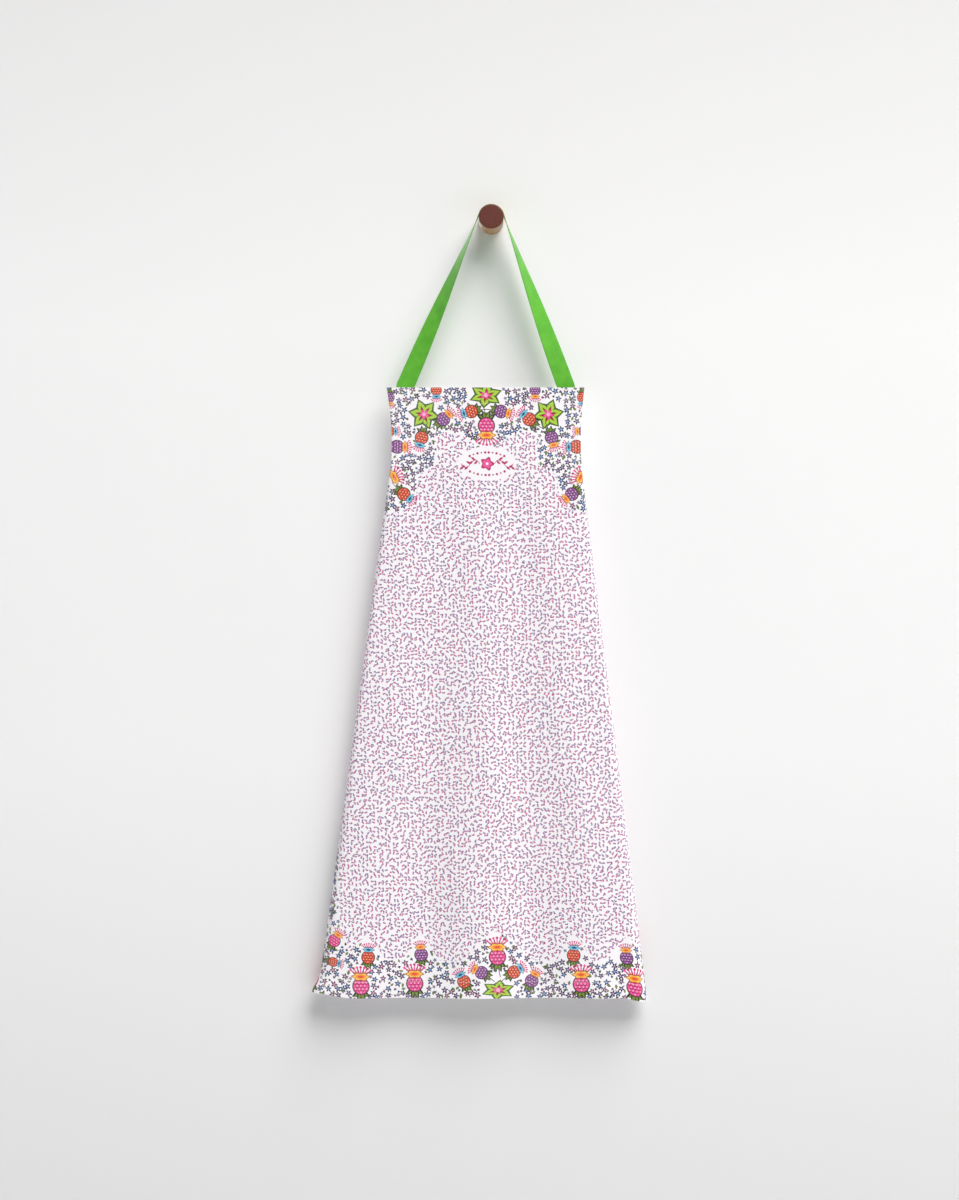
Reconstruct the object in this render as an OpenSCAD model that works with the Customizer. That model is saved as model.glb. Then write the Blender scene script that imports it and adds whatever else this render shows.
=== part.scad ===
// Kitchen apron that hangs by its neck strap from a wooden wall peg. Millimetres.
// The origin is the centre of the wall plug's mouth, on the wall's surface (the plane y = 0).
// +Z is up. The wall is on the +Y side, and the apron hangs in front of it, on the -Y side.

/* [Peg and fixing] */
// Diameter of the wooden peg
peg_d = 35; // [24:1:50]
// Distance from the wall to the peg's front face
peg_out = 55; // [50:1:90]
// Bevel round the peg's front edge
peg_bevel = 1.2; // [0.4:0.1:3]
// Gap between the peg's back face and the wall
peg_gap = 0.5; // [0.2:0.1:2]
// Diameter of the dowel screw
screw_d = 6; // [4:0.5:10]
// Length of the screw inside the peg
screw_in_peg = 28; // [15:1:40]
// Length of the screw inside the wall
screw_in_wall = 32; // [24:1:60]
// Pitch of the screw's thread in the wall
thread_pitch = 2; // [1:0.25:3]
// Depth of the screw's thread
thread_depth = 0.5; // [0.2:0.1:0.8]
// Clearance between the screw and the peg's bore, on the radius
bore_clearance = 0.05; // [0.02:0.01:0.1]
// Wall thickness of the plug
plug_wall = 2; // [1:0.25:4]
// Solid tip of the plug, past the end of the screw
plug_tip = 8; // [4:1:15]
// Plain front stretch of the plug
plug_plain = 20; // [10:1:22]

/* [Neck strap] */
// Width of the strap's webbing
strap_w = 25; // [15:1:30]
// Thickness of the strap's webbing
strap_t = 1.4; // [0.8:0.1:3]
// Gap between the strap and the peg
strap_gap = 0.3; // [0.3:0.1:1]
// Distance from the peg's front face to the strap's edge
strap_setback = 6.5; // [2:0.5:10]
// Drop from the peg's axis to the top of the bib
strap_drop = 240; // [150:1:400]
// Distance from the bib's side to the strap's outer edge
strap_inset = 13; // [5:1:30]
// Drop of each strap end that is sewn behind the bib
strap_tail = 20; // [12:1:22]
// Half of the slit left where the strap bends over the bib's top
bend_gap = 0.6; // [0.5:0.1:1]

/* [Apron] */
// Width of the bib
bib_w = 280; // [200:1:340]
// Waisting of the bib's sides, each
bib_dip = 7; // [0:1:12]
// Depth below the bib's top at which the side folds start
fold_start = 170; // [120:5:190]
// Flare of the left side from the bib's top to the start of its fold
flare_left = 7; // [0:1:15]
// Flare of the right side from the bib's top to the start of its fold
flare_right = 0; // [0:1:15]
// Depth of the armholes, from the bib's top to the waist corners
armhole_h = 300; // [240:5:360]
// Length from the bib's top to the hem
apron_len = 865; // [650:5:1000]
// Distance from the apron's middle to its left fold, at the hem
hem_left = 265; // [200:1:320]
// Distance from the apron's middle to its right fold, at the hem
hem_right = 212; // [160:1:280]
// Thickness of the cloth
cloth_t = 1.2; // [0.6:0.1:1.6]
// Thickness of a turned hem on the cloth's back
hem_t = 0.8; // [0.4:0.1:1.2]
// Radius of the rolled side folds at the bib's top
fold_r_top = 8; // [6:0.5:10]
// Radius of the rolled side folds at the hem
fold_r_hem = 16; // [10:0.5:18]
// Cloth folded back past the left fold, at the hem
flap_hem_left = 26; // [20:1:60]
// Cloth folded back past the right fold, at the hem
flap_hem_right = 79; // [20:1:110]
// Depth of the soft waves in the front at the hem
wave_depth = 2.5; // [0:0.1:5]
// How far the apron's middle is to the left of the peg at the bib's top
hang_shift = 8; // [0:1:20]
// How far the apron's middle drifts to the right from the bib's top to the hem
hem_drift = 18; // [0:1:30]

/* [Hems and stitching] */
// Height of the hem across the bib's top
top_hem_w = 25; // [23:1:40]
// Height of the bottom hem
bottom_hem_w = 25; // [12:1:40]
// Width of the hems down the armholes and sides
side_hem_w = 10; // [6:1:16]
// Distance from a hem's inner edge to its row of stitches
stitch_inset = 2; // [1:0.5:3]
// Width of a row of stitches
thread_w = 0.6; // [0.4:0.1:1]
// Height of a row of stitches above the cloth
thread_h = 0.3; // [0.2:0.1:0.5]

/* [Waist ties] */
// Width of the ties' webbing
tie_w = 25; // [15:1:30]
// Thickness of the ties' webbing
tie_t = 1.4; // [0.8:0.1:2]
// Length of each hanging tie
tie_len = 500; // [300:5:520]
// Length of tie sewn to the flap
tie_sewn = 35; // [20:1:45]
// Gap between the two ties
tie_gap = 8; // [3:1:12]
// How far the gap between the ties is to the left of the apron's middle
tie_shift = 10; // [0:1:15]
// Distance from the waist corner down to the tie's upper edge
tie_below_corner = 6; // [3:1:15]
// Gap between the folded end of a tie and the length that swings below it
tie_clearance = 1; // [0.8:0.1:2]

/* [Care label] */
// Width of the blank label
label_w = 30; // [15:1:50]
// Height of the blank label
label_h = 45; // [20:1:70]
// Thickness of the blank label
label_t = 0.4; // [0.3:0.1:0.8]

/* [Hidden] */
$fn = 64;

LEFT = -1;
RIGHT = 1;
cloth_colour = [0.94, 0.92, 0.95];
webbing_colour = [0.27, 0.56, 0.16];
thread_colour = [0.98, 0.97, 0.93];
wood_colour = [0.62, 0.42, 0.25];

// Places along the depth, front to wall
strap_y = -(peg_out - strap_setback - strap_w / 2);
back_of_hem_y = strap_y - strap_t / 2;
front_y = back_of_hem_y - hem_t - cloth_t;

function mix(a, b, k) = a + (b - a) * k;
function share_down(v) = v / apron_len;
function middle_x(v) = -hang_shift + hem_drift * share_down(v);

// Rows of the cloth's mesh, closer together round the armholes
armhole_steps = 12;
skirt_steps = 9;
armhole_rows = [for (k = [0 : armhole_steps]) armhole_h * k / armhole_steps];
skirt_end = apron_len - bottom_hem_w;
skirt_rows = [for (k = [1 : skirt_steps]) mix(armhole_h, skirt_end, k / skirt_steps)];
bottom_stitch_rows = [skirt_end + stitch_inset, skirt_end + stitch_inset + thread_w];
bottom_hem_rows = concat([skirt_end], bottom_stitch_rows, [apron_len]);
all_rows = concat(armhole_rows, skirt_rows, bottom_stitch_rows, [apron_len]);

// The side folds are rolls of half a circle, which widen from just below the ties to the hem
widen_start = skirt_rows[0];
function fold_r(v) = mix(fold_r_top, fold_r_hem, max(v - widen_start, 0) / (apron_len - widen_start));
function roll_arc(v) = PI * fold_r(v);
function flap_y(v) = front_y + 2 * fold_r(v);

// The cloth's section at depth v below the bib's top, on side s: a front out to front_half(v, s),
// then a length of extra(v, s) that rolls back round the fold and lies behind the front as a flap.
curl = 3;
curl_start = fold_start * 0.6;
armhole_power = 2.2;
function flare(s) = s == LEFT ? flare_left : flare_right;
function hem_half(s) = s == LEFT ? hem_left : hem_right;
function flap_hem(s) = s == LEFT ? flap_hem_left : flap_hem_right;
function side_half(v, s) =
    let (k = v / fold_start, fold_top = bib_w / 2 + flare(s))
    k < 1
        ? bib_w / 2 + flare(s) * k * k - bib_dip * sin(180 * k)
        : mix(fold_top, hem_half(s), (v - fold_start) / (apron_len - fold_start));
// Distance from the middle to a flap's edge at the waist: the ties hang in the space between
function corner_reach(s) = tie_w + tie_gap / 2 - s * tie_shift;
function extra_waist(s) = side_half(armhole_h, s) - fold_r(armhole_h) - corner_reach(s) + roll_arc(armhole_h);
function extra_hem(s) = roll_arc(apron_len) / 2 + flap_hem(s);
function armhole_share(v) = pow(max(v - curl_start, 0) / (armhole_h - curl_start), armhole_power);
function extra(v, s) = v < armhole_h
    ? mix(curl, extra_waist(s), armhole_share(v))
    : mix(extra_waist(s), extra_hem(s), (v - armhole_h) / (apron_len - armhole_h));
function degrees_of(v, arc) = arc / fold_r(v) * 180 / PI;
function front_half(v, s) = side_half(v, s) - fold_r(v) * sin(min(degrees_of(v, extra(v, s)), 90));
function whole_half(v, s) = front_half(v, s) + extra(v, s);

// Soft waves across the front, below the top hem: three crests that deepen towards the bottom
wave_shift = 0.09;
wave_length = 0.83;
wave_top = top_hem_w + 15;
function wave_share(v) = max(v - wave_top, 0) / (apron_len - wave_top);
function wave(v, q) = wave_depth * wave_share(v) * (1 - pow(q, 4)) * cos(360 * (q + wave_shift) / wave_length);

// A point of the cloth at depth v, at the arc length a from the middle (negative to the left),
// and at the distance off behind the printed side. e is the arc past the end of the front.
function section_x(v, s, e, off) = e <= 0
    ? front_half(v, s) + e
    : e < roll_arc(v)
        ? front_half(v, s) + (fold_r(v) - off) * sin(degrees_of(v, e))
        : front_half(v, s) - (e - roll_arc(v));
function section_y(v, s, e, off) = e <= 0
    ? off - wave(v, s * (front_half(v, s) + e) / front_half(v, s))
    : e < roll_arc(v)
        ? fold_r(v) - (fold_r(v) - off) * cos(degrees_of(v, e))
        : 2 * fold_r(v) - off;
// A fold that slants outwards turns the flap's threads down by twice its slant, towards the middle
function fold_slant(s) = (hem_half(s) - bib_w / 2 - flare(s)) / (apron_len - fold_start);
function dip(v, s, e) = 2 * fold_slant(s) * max(e - roll_arc(v) / 2, 0) * (1 - share_down(v));
function cloth_point(v, a, off) =
    let (s = a < 0 ? LEFT : RIGHT, e = abs(a) - front_half(v, s))
    [middle_x(v) + s * section_x(v, s, e, off),
        front_y + section_y(v, s, e, off),
        -strap_drop - v - dip(v, s, e)];

// Columns of the cloth's mesh: steps across the front, round each roll, along each flap, and
// across the hem at its edge. The hem and its stitches have the same columns, to lie flat on it.
front_steps = 20;
roll_steps = 6;
flap_steps = 3;
hem_steps = [stitch_inset, stitch_inset + thread_w, 0.6 * side_hem_w, side_hem_w];
body_steps = roll_steps + flap_steps;
side_count = body_steps + len(hem_steps);
front_margin = 3;
function hem_start(v, s) = whole_half(v, s) - side_hem_w;
function front_end(v, s) = min(front_half(v, s), hem_start(v, s) - front_margin);
function roll_end(v, s) =
    let (flap = hem_start(v, s) - front_end(v, s))
    front_end(v, s) + min(roll_arc(v), 0.6 * flap);
function side_column(v, s, k) = k <= roll_steps
    ? mix(front_end(v, s), roll_end(v, s), k / roll_steps)
    : k <= body_steps
        ? mix(roll_end(v, s), hem_start(v, s), (k - roll_steps) / flap_steps)
        : hem_start(v, s) + hem_steps[k - body_steps - 1];
function all_columns(v) = concat(
    [for (k = [side_count : -1 : 1]) -side_column(v, LEFT, k)],
    [for (k = [0 : front_steps]) mix(-front_end(v, LEFT), front_end(v, RIGHT), k / front_steps)],
    [for (k = [1 : side_count]) side_column(v, RIGHT, k)]);

// Closed solid between two grids of points, outer and inner, with the same rows and columns.
// Seen from outside, columns run to the right and rows run down.
module shell(outer, inner) {
    rows = len(outer);
    cols = len(outer[0]);
    points = [for (grid = [outer, inner]) for (row = grid) for (p = row) p];
    function o(r, c) = r * cols + c;
    function i(r, c) = (rows + r) * cols + c;
    faces = [
        for (r = [0 : rows - 2]) for (c = [0 : cols - 2]) each [
            [o(r, c), o(r, c + 1), o(r + 1, c + 1)],
            [o(r, c), o(r + 1, c + 1), o(r + 1, c)],
            [i(r, c), i(r + 1, c + 1), i(r, c + 1)],
            [i(r, c), i(r + 1, c), i(r + 1, c + 1)]],
        for (c = [0 : cols - 2]) each [
            [i(0, c), i(0, c + 1), o(0, c + 1)],
            [i(0, c), o(0, c + 1), o(0, c)],
            [o(rows - 1, c), o(rows - 1, c + 1), i(rows - 1, c + 1)],
            [o(rows - 1, c), i(rows - 1, c + 1), i(rows - 1, c)]],
        for (r = [0 : rows - 2]) each [
            [i(r, 0), o(r, 0), o(r + 1, 0)],
            [i(r, 0), o(r + 1, 0), i(r + 1, 0)],
            [o(r, cols - 1), i(r, cols - 1), i(r + 1, cols - 1)],
            [o(r, cols - 1), i(r + 1, cols - 1), o(r + 1, cols - 1)]]];
    polyhedron(points, faces, convexity = 10);
}

// Layer of the whole width of the cloth, over the given rows, between two distances
module full_layer(rows, off_0, off_1) {
    shell([for (v = rows) [for (a = all_columns(v)) cloth_point(v, a, off_0)]],
        [for (v = rows) [for (a = all_columns(v)) cloth_point(v, a, off_1)]]);
}

// Strip that runs down one edge of the cloth, between two of its columns, the inner one first
module edge_strip(side, rows, first, last, off_0, off_1) {
    columns = side == LEFT ? [last : -1 : first] : [first : last];
    shell([for (v = rows) [for (k = columns) cloth_point(v, side * side_column(v, side, k), off_0)]],
        [for (v = rows) [for (k = columns) cloth_point(v, side * side_column(v, side, k), off_1)]]);
}

// Flat piece in a plane that faces the viewer, from an outline of x and z, y_0 to y_0 + depth
module facing_plate(outline, y_0, depth) {
    translate([0, y_0 + depth, 0]) rotate([90, 0, 0]) linear_extrude(depth) polygon(outline);
}

// Straight row of stitches between two points of a facing plane
module stitch_bar(p, q, y_0) {
    run = q - p;
    translate([p.x, y_0, p.y]) rotate([0, -atan2(run.y, run.x), 0]) translate([0, 0, -thread_w / 2])
        cube([norm(run), thread_h, thread_w]);
}

// Box of stitches with a cross in it, on corners given in turn
module box_stitch(corners, y_0) {
    for (k = [0 : 3]) stitch_bar(corners[k], corners[(k + 1) % 4], y_0);
    stitch_bar(corners[0], corners[2], y_0);
    stitch_bar(corners[1], corners[3], y_0);
}

// ---- Peg and its fixing in the wall ----

module wall_plug() {
    plug_r = screw_d / 2 + plug_wall;
    ribbed = screw_in_wall - plug_plain;
    rib_count = max(floor(ribbed / 3), 1);
    rib = ribbed / rib_count;
    color("gainsboro") rotate([-90, 0, 0]) difference() {
        union() {
            cylinder(r = plug_r, h = plug_plain);
            for (k = [0 : rib_count - 1]) translate([0, 0, plug_plain + k * rib])
                cylinder(r1 = plug_r - plug_wall / 3, r2 = plug_r - 0.1, h = rib);
            translate([0, 0, screw_in_wall])
                cylinder(r1 = plug_r - plug_wall / 3, r2 = screw_d / 3, h = plug_tip);
        }
        translate([0, 0, -1]) cylinder(d = screw_d, h = screw_in_wall + 1);
    }
}

module dowel_screw() {
    r = screw_d / 2;
    turns = floor((screw_in_wall - screw_d) / thread_pitch);
    start = -screw_in_peg - peg_gap;
    chamfer = 1;
    root_r = r - thread_depth;
    profile = concat(
        [[0, start], [r - chamfer, start], [r, start + chamfer], [r, chamfer]],
        [for (k = [0 : turns - 1]) each [
            [root_r, chamfer + (k + 0.5) * thread_pitch],
            [r, chamfer + (k + 1) * thread_pitch]]],
        [[0, screw_in_wall - 0.5]]);
    color("silver") rotate([-90, 0, 0]) rotate_extrude() polygon(profile);
}

module peg() {
    r = peg_d / 2;
    length = peg_out - peg_gap;
    profile = [[0, 0], [r, 0], [r, length - peg_bevel], [r - peg_bevel, length], [0, length]];
    color(wood_colour) translate([0, -peg_gap, 0]) rotate([90, 0, 0]) difference() {
        rotate_extrude() polygon(profile);
        translate([0, 0, -1]) cylinder(r = screw_d / 2 + bore_clearance, h = screw_in_peg + 1.5);
    }
}

// ---- Neck strap: up from the bib, over the peg and down again, a quarter turn in each leg ----

wrap_r = peg_d / 2 + strap_gap + strap_t / 2;
leg_spread = bib_w / 2 - strap_inset - strap_w / 2;
function foot_x(side) = middle_x(0) + side * leg_spread;
// Angle round the peg at which a leg leaves it, from the +X side upwards
function leave_angle(side) =
    let (foot = [foot_x(side), -strap_drop], reach = norm(foot))
    atan2(foot.y, foot.x) + (side == RIGHT ? acos(wrap_r / reach) : 360 - acos(wrap_r / reach));
function leave_point(side) = wrap_r * [cos(leave_angle(side)), sin(leave_angle(side))];
// Unit direction down a leg, away from the peg
function leg_run(side) = let (d = [foot_x(side), -strap_drop] - leave_point(side)) d / norm(d);
// Unit direction across a leg, away from the loop's inside
function leg_out(side) = side * [-leg_run(side).y, leg_run(side).x];

leg_steps = 26;
wrap_steps = 20;
// Turn of the strap, from 0 flat against the bib to 90 across the peg
function turn(k) = 90 * (3 * k * k - 2 * k * k * k);
// One corner of the strap: centre and outward direction in the loop's plane, turn, edge and face
function strap_corner(c, out, angle, edge, face) =
    let (w = [out.x * cos(angle), sin(angle), out.y * cos(angle)],
        n = [out.x * sin(angle), -cos(angle), out.y * sin(angle)])
    [c.x, strap_y, c.y] + edge * strap_w / 2 * w + face * strap_t / 2 * n;
// The same corner, slid along the leg until it lies at the height cut_z
function cut_corner(p, run, cut_z) = p + [run.x, 0, run.y] * (cut_z - p.z) / run.y;
leg_end = strap_drop - bend_gap;
function leg_station(side, k, edge, face) =
    let (foot = [foot_x(side), -strap_drop],
        p = strap_corner(mix(foot, leave_point(side), k), leg_out(side), turn(k), edge, face))
    k == 0 ? cut_corner(p, leg_run(side), -leg_end) : p;
function wrap_station(k, edge, face) =
    let (angle = mix(leave_angle(LEFT), leave_angle(RIGHT), k), out = [cos(angle), sin(angle)])
    strap_corner(wrap_r * out, out, 90, edge, face);
function strap_line(edge, face) = concat(
    [for (k = [0 : leg_steps - 1]) leg_station(LEFT, k / leg_steps, edge, face)],
    [for (k = [0 : wrap_steps]) wrap_station(k / wrap_steps, edge, face)],
    [for (k = [leg_steps - 1 : -1 : 0]) leg_station(RIGHT, k / leg_steps, edge, face)]);

module neck_strap() {
    color(webbing_colour) shell([for (edge = [1, 0, -1]) strap_line(edge, 1)],
        [for (edge = [1, 0, -1]) strap_line(edge, -1)]);
}

// Corners of the strap's sewn end, drawn in by an inset
function tail_corners(side, inset) =
    let (x = foot_x(side), half = strap_w / 2 - inset, top = -strap_drop - bend_gap - inset,
        end = -strap_drop - strap_tail + inset)
    [[x - half, top], [x + half, top], [x + half, end], [x - half, end]];

module strap_end(side) {
    color(webbing_colour) facing_plate(tail_corners(side, 0), back_of_hem_y, strap_t);
}

module strap_stitching(side) {
    corners = tail_corners(side, stitch_inset);
    color(thread_colour) {
        box_stitch(corners, back_of_hem_y + strap_t);
        box_stitch(corners, front_y - thread_h);
    }
}

// ---- The apron's cloth, its turned hems and their stitching ----

module apron_panel() {
    color(cloth_colour) full_layer(all_rows, 0, cloth_t);
}

// The top hem ends inside the two armhole hems, which meet the bib's narrower side further down
function top_hem_x(s) = middle_x(0) + s * (whole_half(top_hem_w, s) - side_hem_w - 1);

module top_hem() {
    bottom = -strap_drop - top_hem_w;
    color(cloth_colour) facing_plate([[top_hem_x(LEFT), -strap_drop], [top_hem_x(RIGHT), -strap_drop],
        [top_hem_x(RIGHT), bottom], [top_hem_x(LEFT), bottom]], front_y + cloth_t, hem_t);
}

module armhole_hem(side) {
    color(cloth_colour) edge_strip(side, armhole_rows, body_steps, side_count, cloth_t, cloth_t + hem_t);
}

module side_hem(side) {
    rows = concat([armhole_h], skirt_rows);
    color(cloth_colour) edge_strip(side, rows, body_steps, side_count, cloth_t, cloth_t + hem_t);
}

module bottom_hem() {
    color(cloth_colour) full_layer(bottom_hem_rows, cloth_t, cloth_t + hem_t);
}

module top_hem_stitching() {
    z = -strap_drop - top_hem_w + stitch_inset;
    color(thread_colour) stitch_bar([top_hem_x(LEFT), z], [top_hem_x(RIGHT), z], front_y - thread_h);
}

module bottom_hem_stitching() {
    color(thread_colour) full_layer(bottom_stitch_rows, -thread_h, 0);
}

module side_stitching(side) {
    below_top_hem = [for (v = armhole_rows) if (v > 0) v];
    rows = concat(below_top_hem, skirt_rows);
    color(thread_colour) edge_strip(side, rows, body_steps + 1, body_steps + 2, -thread_h, 0);
}

// ---- Waist ties: sewn inside the flaps, folded down at their edges and hanging behind ----

function corner_z(s) = cloth_point(armhole_h, s * whole_half(armhole_h, s), 0).z;
function tie_top(s) = corner_z(s) - tie_below_corner;
tie_tab_y = flap_y(armhole_h) - cloth_t - hem_t - tie_t;
tie_hang_y = tie_tab_y + tie_t;
// Place across the tie: 0 at the flap's edge, tie_w at the tie's inner edge, negative inside the flap
function tie_x(s, inwards) = middle_x(armhole_h) + s * (corner_reach(s) - inwards);

// The sewn end runs level to the flap's edge and is folded down there along a diagonal
module tie_end(side) {
    top = tie_top(side);
    low = top - tie_w;
    color(webbing_colour) {
        facing_plate([[tie_x(side, -tie_sewn), top], [tie_x(side, 0), top], [tie_x(side, tie_w), low],
            [tie_x(side, -tie_sewn), low]], tie_tab_y, tie_t);
        facing_plate([[tie_x(side, 0), top], [tie_x(side, tie_w), low], [tie_x(side, 0), low]],
            tie_hang_y, tie_t);
    }
}

module tie_stitching(side) {
    near = tie_x(side, -side_hem_w - stitch_inset);
    far = tie_x(side, stitch_inset - tie_sewn);
    high = tie_top(side) - stitch_inset;
    low = high - tie_w + 2 * stitch_inset;
    corners = [[near, high], [far, high], [far, low], [near, low]];
    color(thread_colour) {
        box_stitch(corners, tie_tab_y - thread_h);
        box_stitch(corners, flap_y(armhole_h));
    }
}

module tie(side) {
    top = tie_top(side) - tie_w - tie_clearance;
    end = tie_top(side) - tie_len;
    color(webbing_colour) facing_plate([[tie_x(side, 0), top], [tie_x(side, tie_w), top],
        [tie_x(side, tie_w), end], [tie_x(side, 0), end]], tie_hang_y, tie_t);
}

module care_label() {
    half = label_w / 2;
    top = -strap_drop - top_hem_w / 2;
    color("white") facing_plate([[middle_x(0) - half, top], [middle_x(0) + half, top],
        [middle_x(0) + half, top - label_h], [middle_x(0) - half, top - label_h]], back_of_hem_y, label_t);
}

wall_plug();
dowel_screw();
peg();
neck_strap();
strap_end(LEFT);  // strap_end_left
strap_end(RIGHT);  // strap_end_right
strap_stitching(LEFT);  // strap_stitching_left
strap_stitching(RIGHT);  // strap_stitching_right
apron_panel();
top_hem();
armhole_hem(LEFT);  // armhole_hem_left
armhole_hem(RIGHT);  // armhole_hem_right
side_hem(LEFT);  // side_hem_left
side_hem(RIGHT);  // side_hem_right
bottom_hem();
top_hem_stitching();
bottom_hem_stitching();
side_stitching(LEFT);  // side_stitching_left
side_stitching(RIGHT);  // side_stitching_right
tie_end(LEFT);  // tie_end_left
tie_end(RIGHT);  // tie_end_right
tie_stitching(LEFT);  // tie_stitching_left
tie_stitching(RIGHT);  // tie_stitching_right
tie(LEFT);  // tie_left
tie(RIGHT);  // tie_right
care_label();
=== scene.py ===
# %% [markdown]
# # A flowered apron on a wall peg
# The real object is a cotton kitchen apron. It hangs by a green webbing neck strap from a round
# wooden peg. Its two sides fold back on themselves, so that it looks like a narrow wedge, and
# the printed side shows again on the flaps behind. Everything that moves or fits is already in
# the frame that is loaded here; this script gives it its looks.

# %% The frame
import math
import random
import bmesh
import bpy
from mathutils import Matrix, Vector
from mathutils.geometry import delaunay_2d_cdt


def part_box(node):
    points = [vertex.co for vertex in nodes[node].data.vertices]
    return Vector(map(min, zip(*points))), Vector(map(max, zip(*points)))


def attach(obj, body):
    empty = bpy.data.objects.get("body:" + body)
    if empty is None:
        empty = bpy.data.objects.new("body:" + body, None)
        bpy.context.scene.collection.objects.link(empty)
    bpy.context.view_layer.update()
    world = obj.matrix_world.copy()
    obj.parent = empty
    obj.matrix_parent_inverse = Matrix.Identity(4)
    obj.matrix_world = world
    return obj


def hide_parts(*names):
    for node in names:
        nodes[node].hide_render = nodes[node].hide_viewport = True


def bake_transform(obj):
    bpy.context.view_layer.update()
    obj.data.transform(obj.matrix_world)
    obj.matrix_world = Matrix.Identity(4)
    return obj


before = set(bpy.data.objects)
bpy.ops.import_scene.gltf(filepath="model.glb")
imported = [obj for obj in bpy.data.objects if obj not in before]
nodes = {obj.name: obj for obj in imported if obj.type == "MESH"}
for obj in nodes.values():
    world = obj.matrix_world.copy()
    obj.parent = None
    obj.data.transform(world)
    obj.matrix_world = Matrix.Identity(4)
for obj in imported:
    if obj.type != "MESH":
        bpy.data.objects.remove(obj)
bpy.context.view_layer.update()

# %% [markdown]
# ## Sizes
# The cloth is not a plain shape: it is a flat pattern that is rolled back at both sides. So its
# sizes are those of the pattern, in metres, and the same few rules as in the frame turn a place
# on the flat pattern into a place in the room. Whatever the frame's boxes can say is read from
# them.

# %% Sizes from the frame
LEFT, RIGHT = -1, 1
SIDES = ((LEFT, "left"), (RIGHT, "right"))

def span(node, axis):
    """Lowest and highest place of a node of the frame along one axis, 0 to 2."""
    low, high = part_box(node)
    return low[axis], high[axis]

def width_of(node, axis):
    low, high = span(node, axis)
    return high - low

PEG_R = width_of("peg", 0) / 2
PEG_FRONT, PEG_BACK = span("peg", 1)
BIB_TOP = span("top_hem", 2)[1]
HEM_Z = span("bottom_hem", 2)[0]
LENGTH = BIB_TOP - HEM_Z
BACK_OF_HEM = span("top_hem", 1)[1]
TOP_HEM_W = width_of("top_hem", 2)
BOTTOM_HEM_W = 0.025
SIDE_HEM_W = 0.010
CLOTH_T, HEM_T = 0.0012, 0.0008
FRONT = BACK_OF_HEM - CLOTH_T - HEM_T
STRAP_W, STRAP_T = width_of("strap_end_left", 0), width_of("strap_end_left", 1)
STRAP_Y = sum(span("strap_end_left", 1)) / 2
print(f"apron {LENGTH:.3f} long, front at y {FRONT:.4f}; strap {STRAP_W:.4f} x {STRAP_T:.4f}")

# %% Sizes of the flat pattern
BIB_HALF, BIB_DIP = 0.140, 0.007
FOLD_START, ARMHOLE_H = 0.170, 0.300
WIDEN_START = 0.360
FLARE = {LEFT: 0.007, RIGHT: 0.0}
HEM_HALF = {LEFT: 0.265, RIGHT: 0.212}
FLAP_HEM = {LEFT: 0.026, RIGHT: 0.079}
FOLD_R_TOP, FOLD_R_HEM = 0.008, 0.016
HANG_SHIFT, HEM_DRIFT = 0.008, 0.018
TIE_GAP, TIE_SHIFT, TIE_W = 0.008, 0.010, 0.025
CURL, CURL_START, ARMHOLE_POWER = 0.003, FOLD_START * 0.6, 2.2
WAVE_DEPTH, WAVE_TOP, WAVE_SHIFT, WAVE_LENGTH = 0.0052, TOP_HEM_W + 0.015, 0.09, 0.83

# %% [markdown]
# ## From the flat pattern to the hanging cloth
# Down the apron goes `v`, from the bib's top, and across it goes `a`, from the middle. At each
# depth the front is flat out to the fold, then the cloth rolls back through half a circle and
# lies behind the front as a flap. Three soft waves deepen towards the hem. Real cloth is never
# as even as that, so faint creases are added, and the left corner of the hem flicks out and up.

# %% Section of the cloth
def mix(a, b, k):
    return a + (b - a) * k

def ease(k):
    """Smooth step from 0 to 1."""
    k = min(max(k, 0.0), 1.0)
    return k * k * (3 - 2 * k)

def middle_x(v):
    return -HANG_SHIFT + HEM_DRIFT * v / LENGTH

def fold_r(v):
    return mix(FOLD_R_TOP, FOLD_R_HEM, max(v - WIDEN_START, 0) / (LENGTH - WIDEN_START))

FLICK, FLICK_H = 0.008, 0.040

def side_half(v, s):
    """Distance from the middle to the side that is seen from the front."""
    k = v / FOLD_START
    if k < 1:
        return BIB_HALF + FLARE[s] * k * k - BIB_DIP * math.sin(math.pi * k)
    flick = FLICK if s == LEFT else 0.0
    half = mix(BIB_HALF + FLARE[s], HEM_HALF[s] - flick, (v - FOLD_START) / (LENGTH - FOLD_START))
    return half + flick * ease((v - LENGTH + FLICK_H) / FLICK_H) ** 2

def corner_reach(s):
    return TIE_W + TIE_GAP / 2 - s * TIE_SHIFT

def extra(v, s):
    """Length of cloth past the front: the roll and the flap."""
    waist = side_half(ARMHOLE_H, s) - fold_r(ARMHOLE_H) - corner_reach(s) + math.pi * fold_r(ARMHOLE_H)
    if v < ARMHOLE_H:
        share = (max(v - CURL_START, 0) / (ARMHOLE_H - CURL_START)) ** ARMHOLE_POWER
        return mix(CURL, waist, share)
    hem = math.pi * FOLD_R_HEM / 2 + FLAP_HEM[s]
    return mix(waist, hem, (v - ARMHOLE_H) / (LENGTH - ARMHOLE_H))

def front_half(v, s):
    return side_half(v, s) - fold_r(v) * math.sin(min(extra(v, s) / fold_r(v), math.pi / 2))

def whole_half(v, s):
    return front_half(v, s) + extra(v, s)

def flat_width(v):
    return whole_half(v, LEFT) + whole_half(v, RIGHT)

FOLD_SLANT = {s: (HEM_HALF[s] - BIB_HALF - FLARE[s]) / (LENGTH - FOLD_START) for s in (LEFT, RIGHT)}
print("flat width at the waist:", round(flat_width(ARMHOLE_H), 4),
      "and at the hem:", round(flat_width(LENGTH), 4))

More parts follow.
